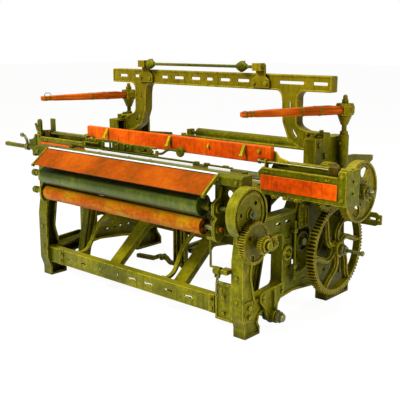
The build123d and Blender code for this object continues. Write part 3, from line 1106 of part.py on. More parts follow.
lift_rod_x = FRAME_OUT_X + LIFT_ROD_STAND
eye_r = LIFT_ROD_R + 6
eye_t = 15
lift_rod = rod_z(lift_rod_x, LIFT_ROD_Y, LIFT_ROD_R, 244, 560)
lift_rod += rod_z(lift_rod_x, LIFT_ROD_Y, LIFT_ROD_R + 5, 238, 250)
for z in (300, 498):
    lift_rod += block((FRAME_OUT_X, lift_rod_x), (LIFT_ROD_Y - eye_r, LIFT_ROD_Y + eye_r), (z, z + eye_t))
    lift_rod += rod_z(lift_rod_x, LIFT_ROD_Y, eye_r, z, z + eye_t)

drum_x = (FRAME_IN_X + 12, FRAME_OUT_X + 16)
drum = rod_x(DRUM_Y, DRUM_Z, DRUM_R, *drum_x)
drum = chamfer(drum.edges().filter_by(GeomType.CIRCLE), 2)
drum_recess = Pos(DRUM_Y, DRUM_Z) * (Circle(DRUM_R - 8) - Circle(DRUM_STUD_R + 8))
drum -= along_x(drum_recess, drum_x[1] - 14, drum_x[1])
drum -= along_x(drum_recess, drum_x[0], drum_x[1] - 32)
drum -= rod_x(DRUM_Y, DRUM_Z, DRUM_STUD_R + RUN, *drum_x)
save("guide_drum", drum)

drum_stud = rod_x(DRUM_Y, DRUM_Z, DRUM_STUD_R, FRAME_IN_X, drum_x[1] + 10)
drum_stud += rod_x(DRUM_Y, DRUM_Z, DRUM_STUD_R + 8, drum_x[1] + SIDE, drum_x[1] + 12)
drum_stud += rod_x(DRUM_Y, DRUM_Z, DRUM_STUD_R + 10, FRAME_IN_X, drum_x[0] - SIDE)
save("drum_stud", drum_stud)

disc = rod_x(DISC_Y, DISC_Z, 41, FRAME_OUT_X, FRAME_OUT_X + 12)
disc += rod_x(DISC_Y, DISC_Z, 34, FRAME_OUT_X + 12, FRAME_OUT_X + 16)
disc -= rod_x(DISC_Y, DISC_Z, 28, FRAME_OUT_X + 8, FRAME_OUT_X + 16)
disc += rod_x(DISC_Y, DISC_Z, 11, FRAME_OUT_X, FRAME_OUT_X + 20)
for dy, dz in ((-17, 6), (16, -8)):
    disc += hex_x(DISC_Y + dy, DISC_Z + dz, 13, FRAME_OUT_X + 6, FRAME_OUT_X + 17)
save("side_fittings", slotted + lift_rod + disc)

# Temple bars behind the breast beam
strip_top_z = TEMPLE_Z - 8
temple = rod_x(TEMPLE_Y, TEMPLE_Z, 5, -580, 470)
temple += rod_x(TEMPLE_Y, TEMPLE_Z, 4, 520, 700)
temple += block((-600, 800), (TEMPLE_Y - 4, TEMPLE_Y + 4), (strip_top_z - 6, strip_top_z))
for x in (-580, -250, 120, 440, 512, 640):
    temple += block((x, x + 30), (TEMPLE_Y - 8, TEMPLE_Y + 8), (TEMPLE_Z - 10, TEMPLE_Z + 8))
for x in (-596, 770):
    temple += block((x, x + 24), (BEAM_Y[1], TEMPLE_Y + 6), (strip_top_z - 24, strip_top_z))
save("temple_bars", temple)

# Starting handle and its quadrant on the left end of the beam
quadrant_face = rounded([(-30, 786, 6), (60, 786, 6), (60, 846, 20), (-30, 846, 14)])
handle_rail = along_x(quadrant_face, QUADRANT_X, -FRAME_OUT_X)
handle_rail += rod_x(0, HANDLE_Z, HANDLE_ROD_R, HANDLE_ROD_END_X, QUADRANT_X)
handle_rail += rod_x(0, HANDLE_Z, HANDLE_ROD_R + 8, QUADRANT_X - 32, QUADRANT_X)
handle_rail += Pos(HANDLE_ROD_END_X - 4, 0, HANDLE_Z) * Rot(0, 90, 0) * Sphere(14)
save("handle_rail", handle_rail)

handle_path = Spline((HANDLE_X, HANDLE_Z), (-966, 872), (-985, 896), (-1012, 904))
handle = along_y(trace(handle_path, 12), -7, 7)
handle += Pos(-1016, 0, 905) * Sphere(14)
handle += rod_x(0, HANDLE_Z, 20, HANDLE_X - 14, HANDLE_X + 14)
handle -= rod_x(0, HANDLE_Z, HANDLE_ROD_R + RUN, HANDLE_X - 30, HANDLE_X + 30)
save("starting_handle", handle)

# Hook rod, weight boss and let-off chain at the front right
hook_rod = rod_z(HOOK_X, TAKE_UP_Y, 6, HOOK_FOOT_Z, 526)
hook_rod += block((HOOK_X - 15, CHEEK_X[0]), (TAKE_UP_Y - 12, TAKE_UP_Y + 12), (516, 530))
hook_rod += rod_x(TAKE_UP_Y, HOOK_FOOT_Z, 6, HOOK_X - 3, CHAIN_X)
hook_rod += rod_x(TAKE_UP_Y, HOOK_FOOT_Z - 14, 21, CHAIN_X - 16, CHAIN_X + 22)
hook_rod += block((CHAIN_X + 22, FRAME_IN_X), (TAKE_UP_Y - 10, -8), (346, 370))
for x in (CHAIN_X - 14, CHAIN_X + 8):
    hook_rod += block((x, x + 6), (TAKE_UP_Y - 8, TAKE_UP_Y + 8), (CHAIN_PIN_Z - 8, 350))
hook_rod += rod_x(TAKE_UP_Y, CHAIN_PIN_Z, LINK_WIRE / 2, CHAIN_X - 14, CHAIN_X + 14)
save("hook_rod", hook_rod)


def chain_link(z, turn):
    inner_len = LINK_LEN - 2 * LINK_WIRE
    ring = SlotOverall(LINK_LEN, LINK_W) - SlotOverall(inner_len, LINK_W - 2 * LINK_WIRE)
    link = extrude(Plane.XZ * Rot(0, 0, 90) * ring, LINK_WIRE / 2, both=True)
    return Pos(CHAIN_X, TAKE_UP_Y, z) * Rot(0, 0, turn) * link


link_pitch = LINK_LEN - 2 * LINK_WIRE - GAP
first_link_z = CHAIN_PIN_Z - LINK_LEN / 2 + 1.5 * LINK_WIRE + GAP
links = [chain_link(first_link_z - i * link_pitch, 90 if i % 2 == 0 else 0) for i in range(LINK_COUNT)]
save("let_off_chain", Compound(children=links))

# Hexagon heads of the frame bolts
heads = Part()
for y, z in ((620, 190), (150, 560)):
    heads += hex_x(y, z, 24, FRAME_OUT_X - LIP, FRAME_OUT_X + 6)
for y, z in ((30, 168), (30, 118), (700, 880), (900, 940), (900, 840), (640, 940), (958, 218), (958, 172)):
    heads += hex_x(y, z, 22, FRAME_OUT_X, FRAME_OUT_X + 12)
heads = both(heads)
for y, z in ((70, 612), (70, 486), (-40, 640)):
    heads += hex_x(y, z, 20, wheel_plate_x, wheel_plate_x + 10)
for side in (-1, 1):
    heads += hex_z(side * ARCH_BOLT_X, ARCH_MID_Y, 24, ARCH_FOOT_Z, ARCH_FOOT_Z + 13)
save("frame_bolts", heads)
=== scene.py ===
import bpy
import bmesh
from math import cos, pi, radians, sin
from mathutils import Matrix, Vector


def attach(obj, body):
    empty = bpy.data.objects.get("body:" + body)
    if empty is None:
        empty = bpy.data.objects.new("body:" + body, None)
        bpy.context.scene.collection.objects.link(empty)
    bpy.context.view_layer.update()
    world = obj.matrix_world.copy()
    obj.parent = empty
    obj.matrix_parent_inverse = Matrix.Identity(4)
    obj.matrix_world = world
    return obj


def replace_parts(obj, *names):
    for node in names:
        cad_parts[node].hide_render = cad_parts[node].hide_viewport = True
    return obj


# Dressing of the power loom: paint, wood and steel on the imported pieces, and the small parts on them.
# The row frame is in metres: +X to the driving side, +Y to the warp side, +Z up.
# Places on the loom are in millimetres, from its middle (X), its front feet (Y) and the floor (Z).

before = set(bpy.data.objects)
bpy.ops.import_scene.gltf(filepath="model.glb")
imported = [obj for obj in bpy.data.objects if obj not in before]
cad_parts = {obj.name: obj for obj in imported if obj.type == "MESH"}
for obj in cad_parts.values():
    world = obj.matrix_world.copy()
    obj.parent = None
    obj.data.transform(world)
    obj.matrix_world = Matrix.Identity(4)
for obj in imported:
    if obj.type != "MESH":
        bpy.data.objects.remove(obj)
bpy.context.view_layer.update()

FRONT_FEET_Y = -0.5365

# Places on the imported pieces; a shaft along X is given by its (Y, Z)
FRAME_OUT_X = 844
FRAME_MID_X = 806
CRANK = (605, 726)
TAPPET = (720, 353)
ROCK = (220, 78)
TAKE_UP = (-50, 686)
CLOTH = (-50, 576)
HEALD = (652, 1356)
HEALD_BALL_X = (-478, 288)
SPINDLE = (312, 878)
HANDLE = (0, 832)
HANDLE_X = -960
PICK_X = 885
PICK_Y = 832
STICK_Z = 1128
HEAD_TOP_Z = 1184
STICK_LEAN_R = radians(-21.7)
STICK_LEAN_L = radians(-13.0)
SLEY_TOP_Z = 748
BOX_FRONT_Y = 275
BOX_POST_X = 1212
BOX_END_X = 1235
BEAM_FRONT_Y = -34
BEAM_BACK_Y = 52
BEAM_TOP_Z = 856
ROLLER_END_X = 606
WHEEL_FACE_X = 906

# Directions
UP = (0, 0, 1)
FRONT, BACK = (0, -1, 0), (0, 1, 0)
RIGHT = (1, 0, 0)


def at(x, y, z):
    """A place in millimetres, measured from the front feet, as a point of the row frame."""
    return Vector((x / 1000, y / 1000 + FRONT_FEET_Y, z / 1000))


# Shader helpers
class Shader:
    """Small builder for one node material."""

    def __init__(self, name):
        self.material = bpy.data.materials.new(name)
        self.material.use_nodes = True
        self.tree = self.material.node_tree
        self.tree.nodes.clear()
        self.out = self.node("ShaderNodeOutputMaterial")
        self.bsdf = self.node("ShaderNodeBsdfPrincipled")
        self.link(self.bsdf.outputs[0], self.out.inputs[0])
        self.coord = self.node("ShaderNodeTexCoord").outputs["Object"]

    def node(self, kind, **settings):
        made = self.tree.nodes.new(kind)
        for key, value in settings.items():
            setattr(made, key, value)
        return made

    def link(self, a, b):
        self.tree.links.new(a, b)

    def feed(self, socket, value):
        """Put a number, a colour or another node's output into a socket."""
        if isinstance(value, (int, float)):
            socket.default_value = value
        elif isinstance(value, tuple):
            socket.default_value = (*value, 1)
        else:
            self.link(value, socket)

    def noise(self, scale, detail=4.0, rough=0.6, stretch=(1, 1, 1), lean=0.0, distortion=0.0):
        """Noise stretched along axes that are turned about Z by the lean."""
        turned = self.node("ShaderNodeMapping")
        turned.inputs["Rotation"].default_value = (0, 0, -lean)
        self.link(self.coord, turned.inputs["Vector"])
        mapping = self.node("ShaderNodeMapping")
        mapping.inputs["Scale"].default_value = stretch
        self.link(turned.outputs[0], mapping.inputs["Vector"])
        made = self.node("ShaderNodeTexNoise")
        made.inputs["Scale"].default_value = scale
        made.inputs["Detail"].default_value = detail
        made.inputs["Roughness"].default_value = rough
        made.inputs["Distortion"].default_value = distortion
        self.link(mapping.outputs[0], made.inputs["Vector"])
        return made.outputs["Fac"]

    def ramp(self, value, stops):
        """Colour of a value, from (place, colour) stops."""
        made = self.node("ShaderNodeValToRGB")
        ramp = made.color_ramp
        while len(ramp.elements) < len(stops):
            ramp.elements.new(0.5)
        for element, (place, colour) in zip(ramp.elements, stops):
            element.position = place
            element.color = (*colour, 1)
        self.link(value, made.inputs["Fac"])
        return made.outputs["Color"]

    def span(self, value, low, high, to_low=0.0, to_high=1.0):
        """A value's range from low to high, carried over to another range."""
        made = self.node("ShaderNodeMapRange")
        made.inputs["From Min"].default_value = low
        made.inputs["From Max"].default_value = high
        made.inputs["To Min"].default_value = to_low
        made.inputs["To Max"].default_value = to_high
        self.link(value, made.inputs["Value"])
        return made.outputs[0]

    def math(self, operation, a, b):
        made = self.node("ShaderNodeMath", operation=operation)
        self.feed(made.inputs[0], a)
        self.feed(made.inputs[1], b)
        return made.outputs[0]

    def times(self, a, b):
        return self.math("MULTIPLY", a, b)

    def mix(self, factor, a, b):
        """Colour a where the factor is 0 and colour b where it is 1."""
        made = self.node("ShaderNodeMix", data_type="RGBA")
        self.feed(made.inputs[0], factor)
        self.feed(made.inputs[6], a)
        self.feed(made.inputs[7], b)
        return made.outputs[2]

    def edges(self, radius):
        """Normal rounded over the edges, and a mask of where it leaves the true one."""
        bevel = self.node("ShaderNodeBevel", samples=8)
        bevel.inputs["Radius"].default_value = radius
        geometry = self.node("ShaderNodeNewGeometry")
        dot = self.node("ShaderNodeVectorMath", operation="DOT_PRODUCT")
        self.link(bevel.outputs[0], dot.inputs[0])
        self.link(geometry.outputs["Normal"], dot.inputs[1])
        return bevel.outputs[0], self.span(dot.outputs["Value"], 0.99, 0.82)

    def z_of(self, vector):
        parts = self.node("ShaderNodeSeparateXYZ")
        self.link(vector, parts.inputs[0])
        return parts.outputs["Z"]

    def facing_up(self):
        """How far the surface faces upwards, from -1 to 1."""
        return self.z_of(self.node("ShaderNodeNewGeometry").outputs["Normal"])

    def height(self):
        """Height above the floor in metres."""
        return self.z_of(self.coord)

    def recess(self, distance):
        """1 in the open and 0 deep in corners."""
        made = self.node("ShaderNodeAmbientOcclusion", samples=6)
        made.inputs["Distance"].default_value = distance
        return made.outputs["AO"]

    def bump(self, height, strength, distance, normal):
        made = self.node("ShaderNodeBump")
        made.inputs["Strength"].default_value = strength
        made.inputs["Distance"].default_value = distance
        self.link(height, made.inputs["Height"])
        self.link(normal, made.inputs["Normal"])
        return made.outputs[0]

    def finish(self, colour, roughness, normal, metallic=0.0, specular=0.5, tint=(1, 1, 1)):
        """The material, with its outputs joined to the surface shader."""
        self.link(colour, self.bsdf.inputs["Base Color"])
        self.link(roughness, self.bsdf.inputs["Roughness"])
        self.link(normal, self.bsdf.inputs["Normal"])
        self.bsdf.inputs["Metallic"].default_value = metallic
        self.bsdf.inputs["Specular IOR Level"].default_value = specular
        self.bsdf.inputs["Specular Tint"].default_value = (*tint, 1)
        return self.material


# Kinds of finish
GOLDEN = (1.0, 0.84, 0.04)


def darker(colour, share):
    """A colour with only a share of its light."""
    return tuple(v * share for v in colour)


def paint(
    name, dark, mid, light, shade_and_dirt, edge, rough=(0.34, 0.52), cast=0.25, depth=0.12, wear_and_highlight=0.8,
    gloss=0.3, drift=(7, 7, 0.7), sheen=GOLDEN, painted_upper_light=None,
):
    """Brushed-on oil paint over a casting: mottled colour, painted shade in the corners, upper parts and
    upward faces lighter as painted light, edges lighter as wear and painted highlight, cast grain.
    """
    s = Shader(name)
    broad = s.noise(3.2, 5, 0.62)
    fine = s.noise(46)
    mottle = s.math("ADD", s.times(broad, 0.66), s.times(fine, 0.34))
    colour = s.ramp(mottle, [(0.36, dark), (0.5, mid), (0.64, light)])
    # painted light: higher parts mixed towards a lighter, warmer colour
    if painted_upper_light:
        colour = s.mix(s.span(s.height(), 0.78, 1.2, 0.0, 0.42), colour, painted_upper_light)
    # painted shade: darker in the corners, broken up by grime noise; then dirt streaks that run with the
    # drift
    open_air = s.recess(depth)
    grime = s.times(s.noise(14, 5, 0.7), 0.3)
    shade_and_grime = s.span(s.math("ADD", open_air, grime), 0.42, 1.08, 1.0, 0.0)
    colour = s.mix(shade_and_grime, colour, shade_and_dirt)
    streaks = s.noise(9, stretch=drift)
    colour = s.mix(s.span(streaks, 0.5, 0.72, 0.0, 0.55), colour, shade_and_dirt)
    # painted light on the upward faces, then edges lighter in patches, partly wear and partly painted
    # highlight
    rounded, rim = s.edges(0.006)
    patchy = s.span(s.noise(30, 3, 0.7), 0.34, 0.58)
    painted_top_light = s.times(s.span(s.facing_up(), 0.55, 0.98), s.span(broad, 0.36, 0.6, 0.15, 0.6))
    colour = s.mix(s.times(painted_top_light, s.span(open_air, 0.4, 0.9)), colour, light)
    # the edge colour is partly paint worn off and partly painted highlight
    worn_and_highlit_edges = s.times(s.times(rim, s.span(open_air, 0.45, 0.8)), patchy)
    colour = s.mix(s.times(worn_and_highlit_edges, wear_and_highlight), colour, edge)
    # gloss that varies, and the grain of the sand casting
    roughness = s.span(s.noise(60, 3), 0.3, 0.7, *rough)
    grain = s.math("ADD", s.times(s.noise(240, 3, 0.7), 0.6), s.noise(38, 3))
    normal = s.bump(grain, cast, 0.0016, rounded)
    return s.finish(colour, roughness, normal, specular=gloss, tint=sheen)


def bare_steel(name, tint, dark=(0.05, 0.045, 0.012), turned=(1, 1, 1), spots=0.55, metallic=0.8):
    """Turned or rolled steel with an oil film and brown spots."""
    s = Shader(name)
    lines = s.noise(90, 3, stretch=turned)
    colour = s.ramp(lines, [(0.3, darker(tint, 0.66)), (0.7, tint)])
    stain = s.span(s.noise(20, 5, 0.7), 0.46, 0.66, 0.0, spots)
    colour = s.mix(stain, colour, dark)
    # painted shade: darker in the corners
    colour = s.mix(s.span(s.recess(0.04), 0.3, 0.95, 0.9, 0.0), colour, dark)
    rounded, _ = s.edges(0.002)
    roughness = s.span(lines, 0.3, 0.7, 0.28, 0.46)
    normal = s.bump(lines, 0.12, 0.0006, rounded)
    return s.finish(colour, roughness, normal, metallic=metallic)


def stained_wood(name, dark, mid, light, lean):
    """Straight-grained wood, stained and oiled, with its grain along -Y turned by the lean."""
    s = Shader(name)
    grain = s.noise(5, 6, stretch=(20, 0.8, 26), lean=lean, distortion=0.4)
    pores = s.noise(34, 3, 0.7, stretch=(16, 0.7, 20), lean=lean)
    colour = s.ramp(grain, [(0.36, dark), (0.5, mid), (0.66, light)])
    colour = s.mix(s.span(pores, 0.52, 0.7, 0.0, 0.6), colour, dark)
    blotch = s.span(s.noise(5), 0.48, 0.72, 0.0, 0.55)
    colour = s.mix(blotch, colour, darker(mid, 0.55))
    # painted shade: darker in the corners
    colour = s.mix(s.span(s.recess(0.05), 0.3, 0.95, 0.9, 0.0), colour, darker(dark, 0.3))
    rounded, rim = s.edges(0.004)
    colour = s.mix(s.times(rim, 0.5), colour, light)
    roughness = s.span(pores, 0.3, 0.7, 0.36, 0.52)
    return s.finish(colour, roughness, s.bump(grain, 0.3, 0.0012, rounded), specular=0.3, tint=GOLDEN)


# The loom's own finishes: dark, middle and light colour, then the colour of dirt and painted shade, and of
# worn edge and painted highlight
OLIVE = paint(
    "olive_cast_paint", (0.036, 0.041, 0.0009), (0.098, 0.102, 0.0012), (0.235, 0.205, 0.0020),
    (0.008, 0.009, 0.0007), (0.74, 0.56, 0.020), wear_and_highlight=0.95, painted_upper_light=(0.24, 0.145, 0.0020),
)
# a darker copy of the olive paint: painted shade for the parts further in
OLIVE_SHADE = paint(
    "olive_painted_shade", (0.024, 0.029, 0.0009), (0.062, 0.067, 0.0012), (0.145, 0.132, 0.0018),
    (0.007, 0.008, 0.0007), (0.44, 0.36, 0.018),
)
WHEEL_PAINT = paint(
    "brown_olive_wheel_paint", (0.036, 0.035, 0.0009), (0.100, 0.090, 0.0012), (0.24, 0.19, 0.0020),
    (0.009, 0.008, 0.0007), (0.70, 0.52, 0.020), wear_and_highlight=0.95,
)
# bright yellow paint standing for highlights, used on the cap fittings: painted highlight
HIGHLIGHT = paint(
    "yellow_painted_highlight", (0.16, 0.14, 0.0016), (0.36, 0.30, 0.0026), (0.60, 0.48, 0.005),
    (0.020, 0.018, 0.0009), (0.80, 0.64, 0.03), depth=0.03,
)
RED = paint(
    "red_gloss_paint", (0.34, 0.028, 0.0008), (0.62, 0.060, 0.0010), (0.78, 0.125, 0.0016),
    (0.11, 0.022, 0.0008), (0.86, 0.34, 0.02), rough=(0.3, 0.46), cast=0.08, wear_and_highlight=0.55,
)
BOARD = paint(
    "red_board_paint", (0.11, 0.026, 0.0006), (0.27, 0.036, 0.0006), (0.38, 0.076, 0.0008),
    (0.085, 0.040, 0.0006), (0.66, 0.34, 0.015), rough=(0.45, 0.6), cast=0.05, wear_and_highlight=0.6, gloss=0.1,
    drift=(1.0, 7, 7),
)
ROLLER_OLIVE = paint(
    "dark_roller_paint", (0.012, 0.024, 0.0014), (0.030, 0.046, 0.0018), (0.085, 0.100, 0.005),
    (0.004, 0.006, 0.0005), (0.26, 0.28, 0.02), rough=(0.28, 0.44), wear_and_highlight=0.4, gloss=0.5,
    sheen=(0.8, 1.0, 0.22),
)
ROLLER_ORANGE = paint(
    "orange_roller_paint", (0.16, 0.036, 0.0008), (0.33, 0.062, 0.0010), (0.36, 0.19, 0.002),
    (0.06, 0.040, 0.0005), (0.60, 0.36, 0.015), rough=(0.38, 0.54), cast=0.12, wear_and_highlight=0.5, gloss=0.1,
    drift=(1.2, 5, 5),
)
HIDE = paint(
    "oiled_hide", (0.024, 0.017, 0.0015), (0.052, 0.036, 0.002), (0.10, 0.066, 0.004),
    (0.014, 0.008, 0.0015), (0.30, 0.19, 0.04), cast=0.5, gloss=0.15,
)
STEEL = bare_steel("oiled_steel", (0.22, 0.21, 0.055))
SHAFT = bare_steel("turned_shaft_steel", (0.30, 0.29, 0.10), turned=(14, 1, 1))
# near-white steel for the beam's top edge and strips: painted highlight
WHITE_HIGHLIGHT = bare_steel(
    "white_painted_highlight", (0.97, 0.98, 0.98), dark=(0.66, 0.66, 0.62), turned=(1, 12, 12), spots=0.08,
    metallic=0.05,
)
STICK_COLOURS = [(0.15, 0.016, 0.001), (0.40, 0.050, 0.0012), (0.66, 0.13, 0.004)]
STICK_WOOD_R = stained_wood("stick_wood_right", *STICK_COLOURS, STICK_LEAN_R)
STICK_WOOD_L = stained_wood("stick_wood_left", *STICK_COLOURS, STICK_LEAN_L)

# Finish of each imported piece; the others are olive
finishes = {
    "front_board": BOARD,
    "reed_cap": RED, "box_panels": RED,
    "pickers": HIDE,
    "picking_stick_right": STICK_WOOD_R, "picking_stick_left": STICK_WOOD_L,
    "take_up_roller": ROLLER_OLIVE, "cloth_roller": ROLLER_ORANGE,
    "crankshaft": SHAFT, "tappet_shaft": SHAFT, "rocking_shaft": SHAFT,
    "picker_spindles": STEEL, "let_off_chain": STEEL, "starting_handle": STEEL, "drum_stud": STEEL,
    "temple_bars": OLIVE_SHADE, "handle_rail": OLIVE_SHADE, "heald_roller": OLIVE_SHADE,
    "guide_drum": OLIVE_SHADE, "breast_beam": OLIVE_SHADE, "middle_rail": OLIVE_SHADE,
    "rear_rail": OLIVE_SHADE, "swords": OLIVE_SHADE,
    "flywheel": WHEEL_PAINT, "change_pinion": WHEEL_PAINT, "beam_wheel": WHEEL_PAINT,
    "stud_wheel": WHEEL_PAINT, "tappet_wheel": WHEEL_PAINT, "crank_pinion": WHEEL_PAINT,
    # cap fittings in yellow as painted highlight
    "cap_fittings": HIGHLIGHT,
}
for name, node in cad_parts.items():
    node.data.materials.clear()
    node.data.materials.append(finishes.get(name, OLIVE))


# Builders for the small parts
def link_object(name, data):
    made = bpy.data.objects.new(name, data)
    bpy.context.scene.collection.objects.link(made)
    return made


def mesh_piece(name, vertices, faces, material):
    mesh = bpy.data.meshes.new(name)
    mesh.from_pydata([tuple(v) for v in vertices], [], faces)
    mesh.validate()
    mesh.materials.append(material)
    return link_object(name, mesh)


def turn_to(point, direction, spin=0.0):
    """Matrix that carries local Z to a direction at a point."""
    swing = Vector(direction).normalized().to_track_quat("Z", "Y").to_matrix().to_4x4()
    return Matrix.Translation(point) @ swing @ Matrix.Rotation(spin, 4, "Z")


def around(centre, radius, degrees_up):
    """(Y, Z) on a circle round a shaft, measured from +Y towards +Z."""
    a = radians(degrees_up)
    return centre[0] + radius * cos(a), centre[1] + radius * sin(a)


def outwards(degrees_up):
    """Direction away from a shaft along X, measured from +Y towards +Z."""
    a = radians(degrees_up)
    return 0, cos(a), sin(a)


def arc(radius, start, stop, step):
    """Points of an arc round the origin, by whole degrees."""
    return [(radius * cos(radians(a)), radius * sin(radians(a))) for a in range(start, stop, step)]


def hexagon(across):
    """Outline of a hexagon from its width across the flats."""
    return arc(across / 2 / cos(pi / 6), 0, 360, 60)


def threads(crest, root, low, high, pitch, groove):
    """(radius, height) pairs of a thread; groove is how far up each turn its root lies."""
    pairs = []
    level = low
    while level < high:
        pairs += [(crest, level + pitch / 3), (root, level + groove)]
        level += pitch
    return pairs, level


def mirrored(half):
    """A turned profile that is the same on both sides of height 0."""
    return half + [(radius, -height) for radius, height in reversed(half)]


class Group:
    """Small parts of one finish that ride on one body and make one piece."""

    YZ_ALONG_X = Matrix(((0, 0, 1, 0), (1, 0, 0, 0), (0, 1, 0, 0), (0, 0, 0, 1)))
    XZ_ALONG_Y = Matrix.Rotation(radians(90), 4, "X")

    def __init__(self, name, body, material, slot):
        self.name, self.body, self.material, self.slot = name, body, material, slot
        self.vertices, self.faces = [], []

    def add(self, vertices, faces, matrix=Matrix.Identity(4)):
        base = len(self.vertices)
        self.vertices += [matrix @ Vector(v) for v in vertices]
        self.faces += [tuple(base + i for i in face) for face in faces]

    def lathe(self, profile, matrix, steps):
        """Turned form from (radius, height) pairs in millimetres round local Z."""
        rings = []
        points = []
        for radius, height in profile:
            count = 1 if radius < 1e-6 else steps
            rings.append([len(points) + i for i in range(count)])
            for i in range(count):
                a = 2 * pi * i / steps
                points.append((radius * cos(a) / 1000, radius * sin(a) / 1000, height / 1000))
        faces = []
        for low, high in zip(rings, rings[1:]):
            for i in range(steps):
                j = (i + 1) % steps
                quad = [low[i % len(low)], low[j % len(low)], high[j % len(high)], high[i % len(high)]]
                face = list(dict.fromkeys(quad))
                if len(face) > 2:
                    faces.append(face)
        self.add(points, faces, matrix)

    def lathe_x(self, profile, x, centre, steps):
        """Turned form along X from its start at x, round a shaft."""
        self.lathe(profile, turn_to(at(x, *centre), RIGHT), steps)

    def prism(self, outline, low, high, matrix, chamfer=0.0):
        """Extruded outline in millimetres along local Z; its top is smaller by the chamfer's share."""
        n = len(outline)
        chamfer_height = 8 * chamfer
        levels = [(low, 1.0), (high - chamfer_height, 1.0)]
        if chamfer:
            levels.append((high, 1 - chamfer))
        points = [(x * k / 1000, y * k / 1000, z / 1000) for z, k in levels for x, y in outline]
        faces = [tuple(reversed(range(n))), tuple(range((len(levels) - 1) * n, len(levels) * n))]
        for level in range(len(levels) - 1):
            a = level * n
            for i in range(n):
                j = (i + 1) % n
                faces.append((a + i, a + j, a + n + j, a + n + i))
        self.add(points, faces, matrix)

    def slab(self, x, y, z):
        """Box from three (low, high) pairs."""
        outline = [(x[0], y[0]), (x[1], y[0]), (x[1], y[1]), (x[0], y[1])]
        self.prism(outline, *z, Matrix.Translation(at(0, 0, 0)))

    def plate(self, outline, y0, y1):
        """Upright plate across the loom from its outline in X and Z."""
        self.prism(outline, 0, y1 - y0, Matrix.Translation(at(0, y1, 0)) @ self.XZ_ALONG_Y)

    def beam(self, outline, x0, x1, centre=(0, 0)):
        """Length along the loom from its section in Y and Z round a centre."""
        self.prism(outline, x0, x1, Matrix.Translation(at(0, *centre)) @ self.YZ_ALONG_X)

    def tube(self, points, radius, sides=10):
        """Round wire through points of the row frame, closed at both ends."""
        points = [Vector(p) for p in points]
        normal = None
        rings = []
        made = []
        for i, point in enumerate(points):
            ahead = points[min(i + 1, len(points) - 1)] - points[max(i - 1, 0)]
            ahead.normalize()
            if normal is None:
                normal = ahead.orthogonal().normalized()
            normal = (normal - ahead * normal.dot(ahead)).normalized()
            side = ahead.cross(normal)
            rings.append([len(made) + k for k in range(sides)])
            for k in range(sides):
                a = 2 * pi * k / sides
                made.append(point + (normal * cos(a) + side * sin(a)) * radius / 1000)
        faces = [tuple(reversed(rings[0])), tuple(rings[-1])]
        for low, high in zip(rings, rings[1:]):
            for k in range(sides):
                j = (k + 1) % sides
                faces.append((low[k], low[j], high[j], high[k]))
        self.add(made, faces)

    def bolt(self, point, direction, across, height, stud=0.0):
        """Hexagon head or nut on its washer, with the bolt's end standing out of it."""
        matrix = turn_to(point, direction, 0.2)
        washer, rim = 1.6, across * 0.66
        self.lathe([(0, 0), (rim, 0), (rim, washer), (0, washer)], matrix, 24)
        self.prism(hexagon(across), washer, height, matrix, 0.12)
        if stud:
            r = across * 0.28
            pairs, top = threads(r, r * 0.88, height, height + stud, 1.2, 0.9)
            profile = [(0, height), (r, height), *pairs, (r * 0.8, top), (0, top + 0.5)]
            self.lathe(profile, matrix, 16)

    def set_screw(self, point, direction, across=9.0, height=12.0):
        """Square-headed set screw on its round neck."""
        h = across / 2
        neck, neck_top = h * 0.8, height * 0.5
        matrix = turn_to(point, direction, 0.5)
        self.lathe([(0, -2), (neck, -2), (neck, neck_top), (0, neck_top)], matrix, 12)
        self.prism([(-h, -h), (h, -h), (h, h), (-h, h)], height * 0.45, height, matrix, 0.15)

    def oiler(self, point, size, direction=UP):
        """Oil cup with a domed lid."""
        profile = [
            (0, -2), (4, -2), (4, 3), (5.5, 4), (8, 6), (8.4, 14), (8.9, 14.6), (8.9, 16.5), (7, 19),
            (3.5, 20.6), (0, 21),
        ]
        self.lathe([(r * size, h * size) for r, h in profile], turn_to(point, direction), 22)

    def piece(self, bevel=0.0):
        """The finished object; edges sharper than 35 degrees stay sharp or take the bevel."""
        sharp = radians(35)
        made = mesh_piece(self.name, self.vertices, self.faces, self.material)
        edit = bmesh.new()
        edit.from_mesh(made.data)
        bmesh.ops.recalc_face_normals(edit, faces=edit.faces)
        edit.to_mesh(made.data)
        edit.free()
        if bevel:
            modifier = made.modifiers.new("edge", "BEVEL")
            modifier.width = bevel / 1000
            modifier.segments = 2
            modifier.limit_method = "ANGLE"
            modifier.angle_limit = sharp
        made.data.shade_smooth()
        made.data.set_sharp_from_angle(angle=sharp)
        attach(made, self.body)
        return made


# Bolts and oil cups of the standing frame
hardware = Group("frame_hardware", "frame", OLIVE, "olive_paint")
for side in (-1, 1):
    away = (side, 0, 0)
    mid_x = side * FRAME_MID_X
    for y in (CRANK[0] - 48, CRANK[0] + 48):
        hardware.bolt(at(mid_x, y, CRANK[1] + 30), UP, 17, 9, stud=7)
    hardware.oiler(at(mid_x, CRANK[0], CRANK[1] + 55), 0.85)
    hardware.oiler(at(side * 881, ROCK[0], ROCK[1] + 34), 0.9)
    hardware.oiler(at(side * PICK_X, PICK_Y - 28, 940), 0.8, FRONT)
    for a in (90, 210, 330):
        hardware.bolt(at(side * FRAME_OUT_X, *around(TAPPET, 43, a)), away, 15, 9)
    for x in (738, 792):
        hardware.bolt(at(side * x, 688.5, 990), FRONT, 17, 10, stud=5)
    hardware.bolt(at(mid_x, BEAM_FRONT_Y, 822), FRONT, 18, 9)
    for z in (330, 200):
        hardware.bolt(at(mid_x, -22, z), FRONT, 16, 8)
    for z in (560, 590):
        hardware.bolt(at(side * 752, 0, z), FRONT, 13, 7)
for x in (-654, 620):
    hardware.bolt(at(x, -3, 176), FRONT, 19, 9, stud=5)
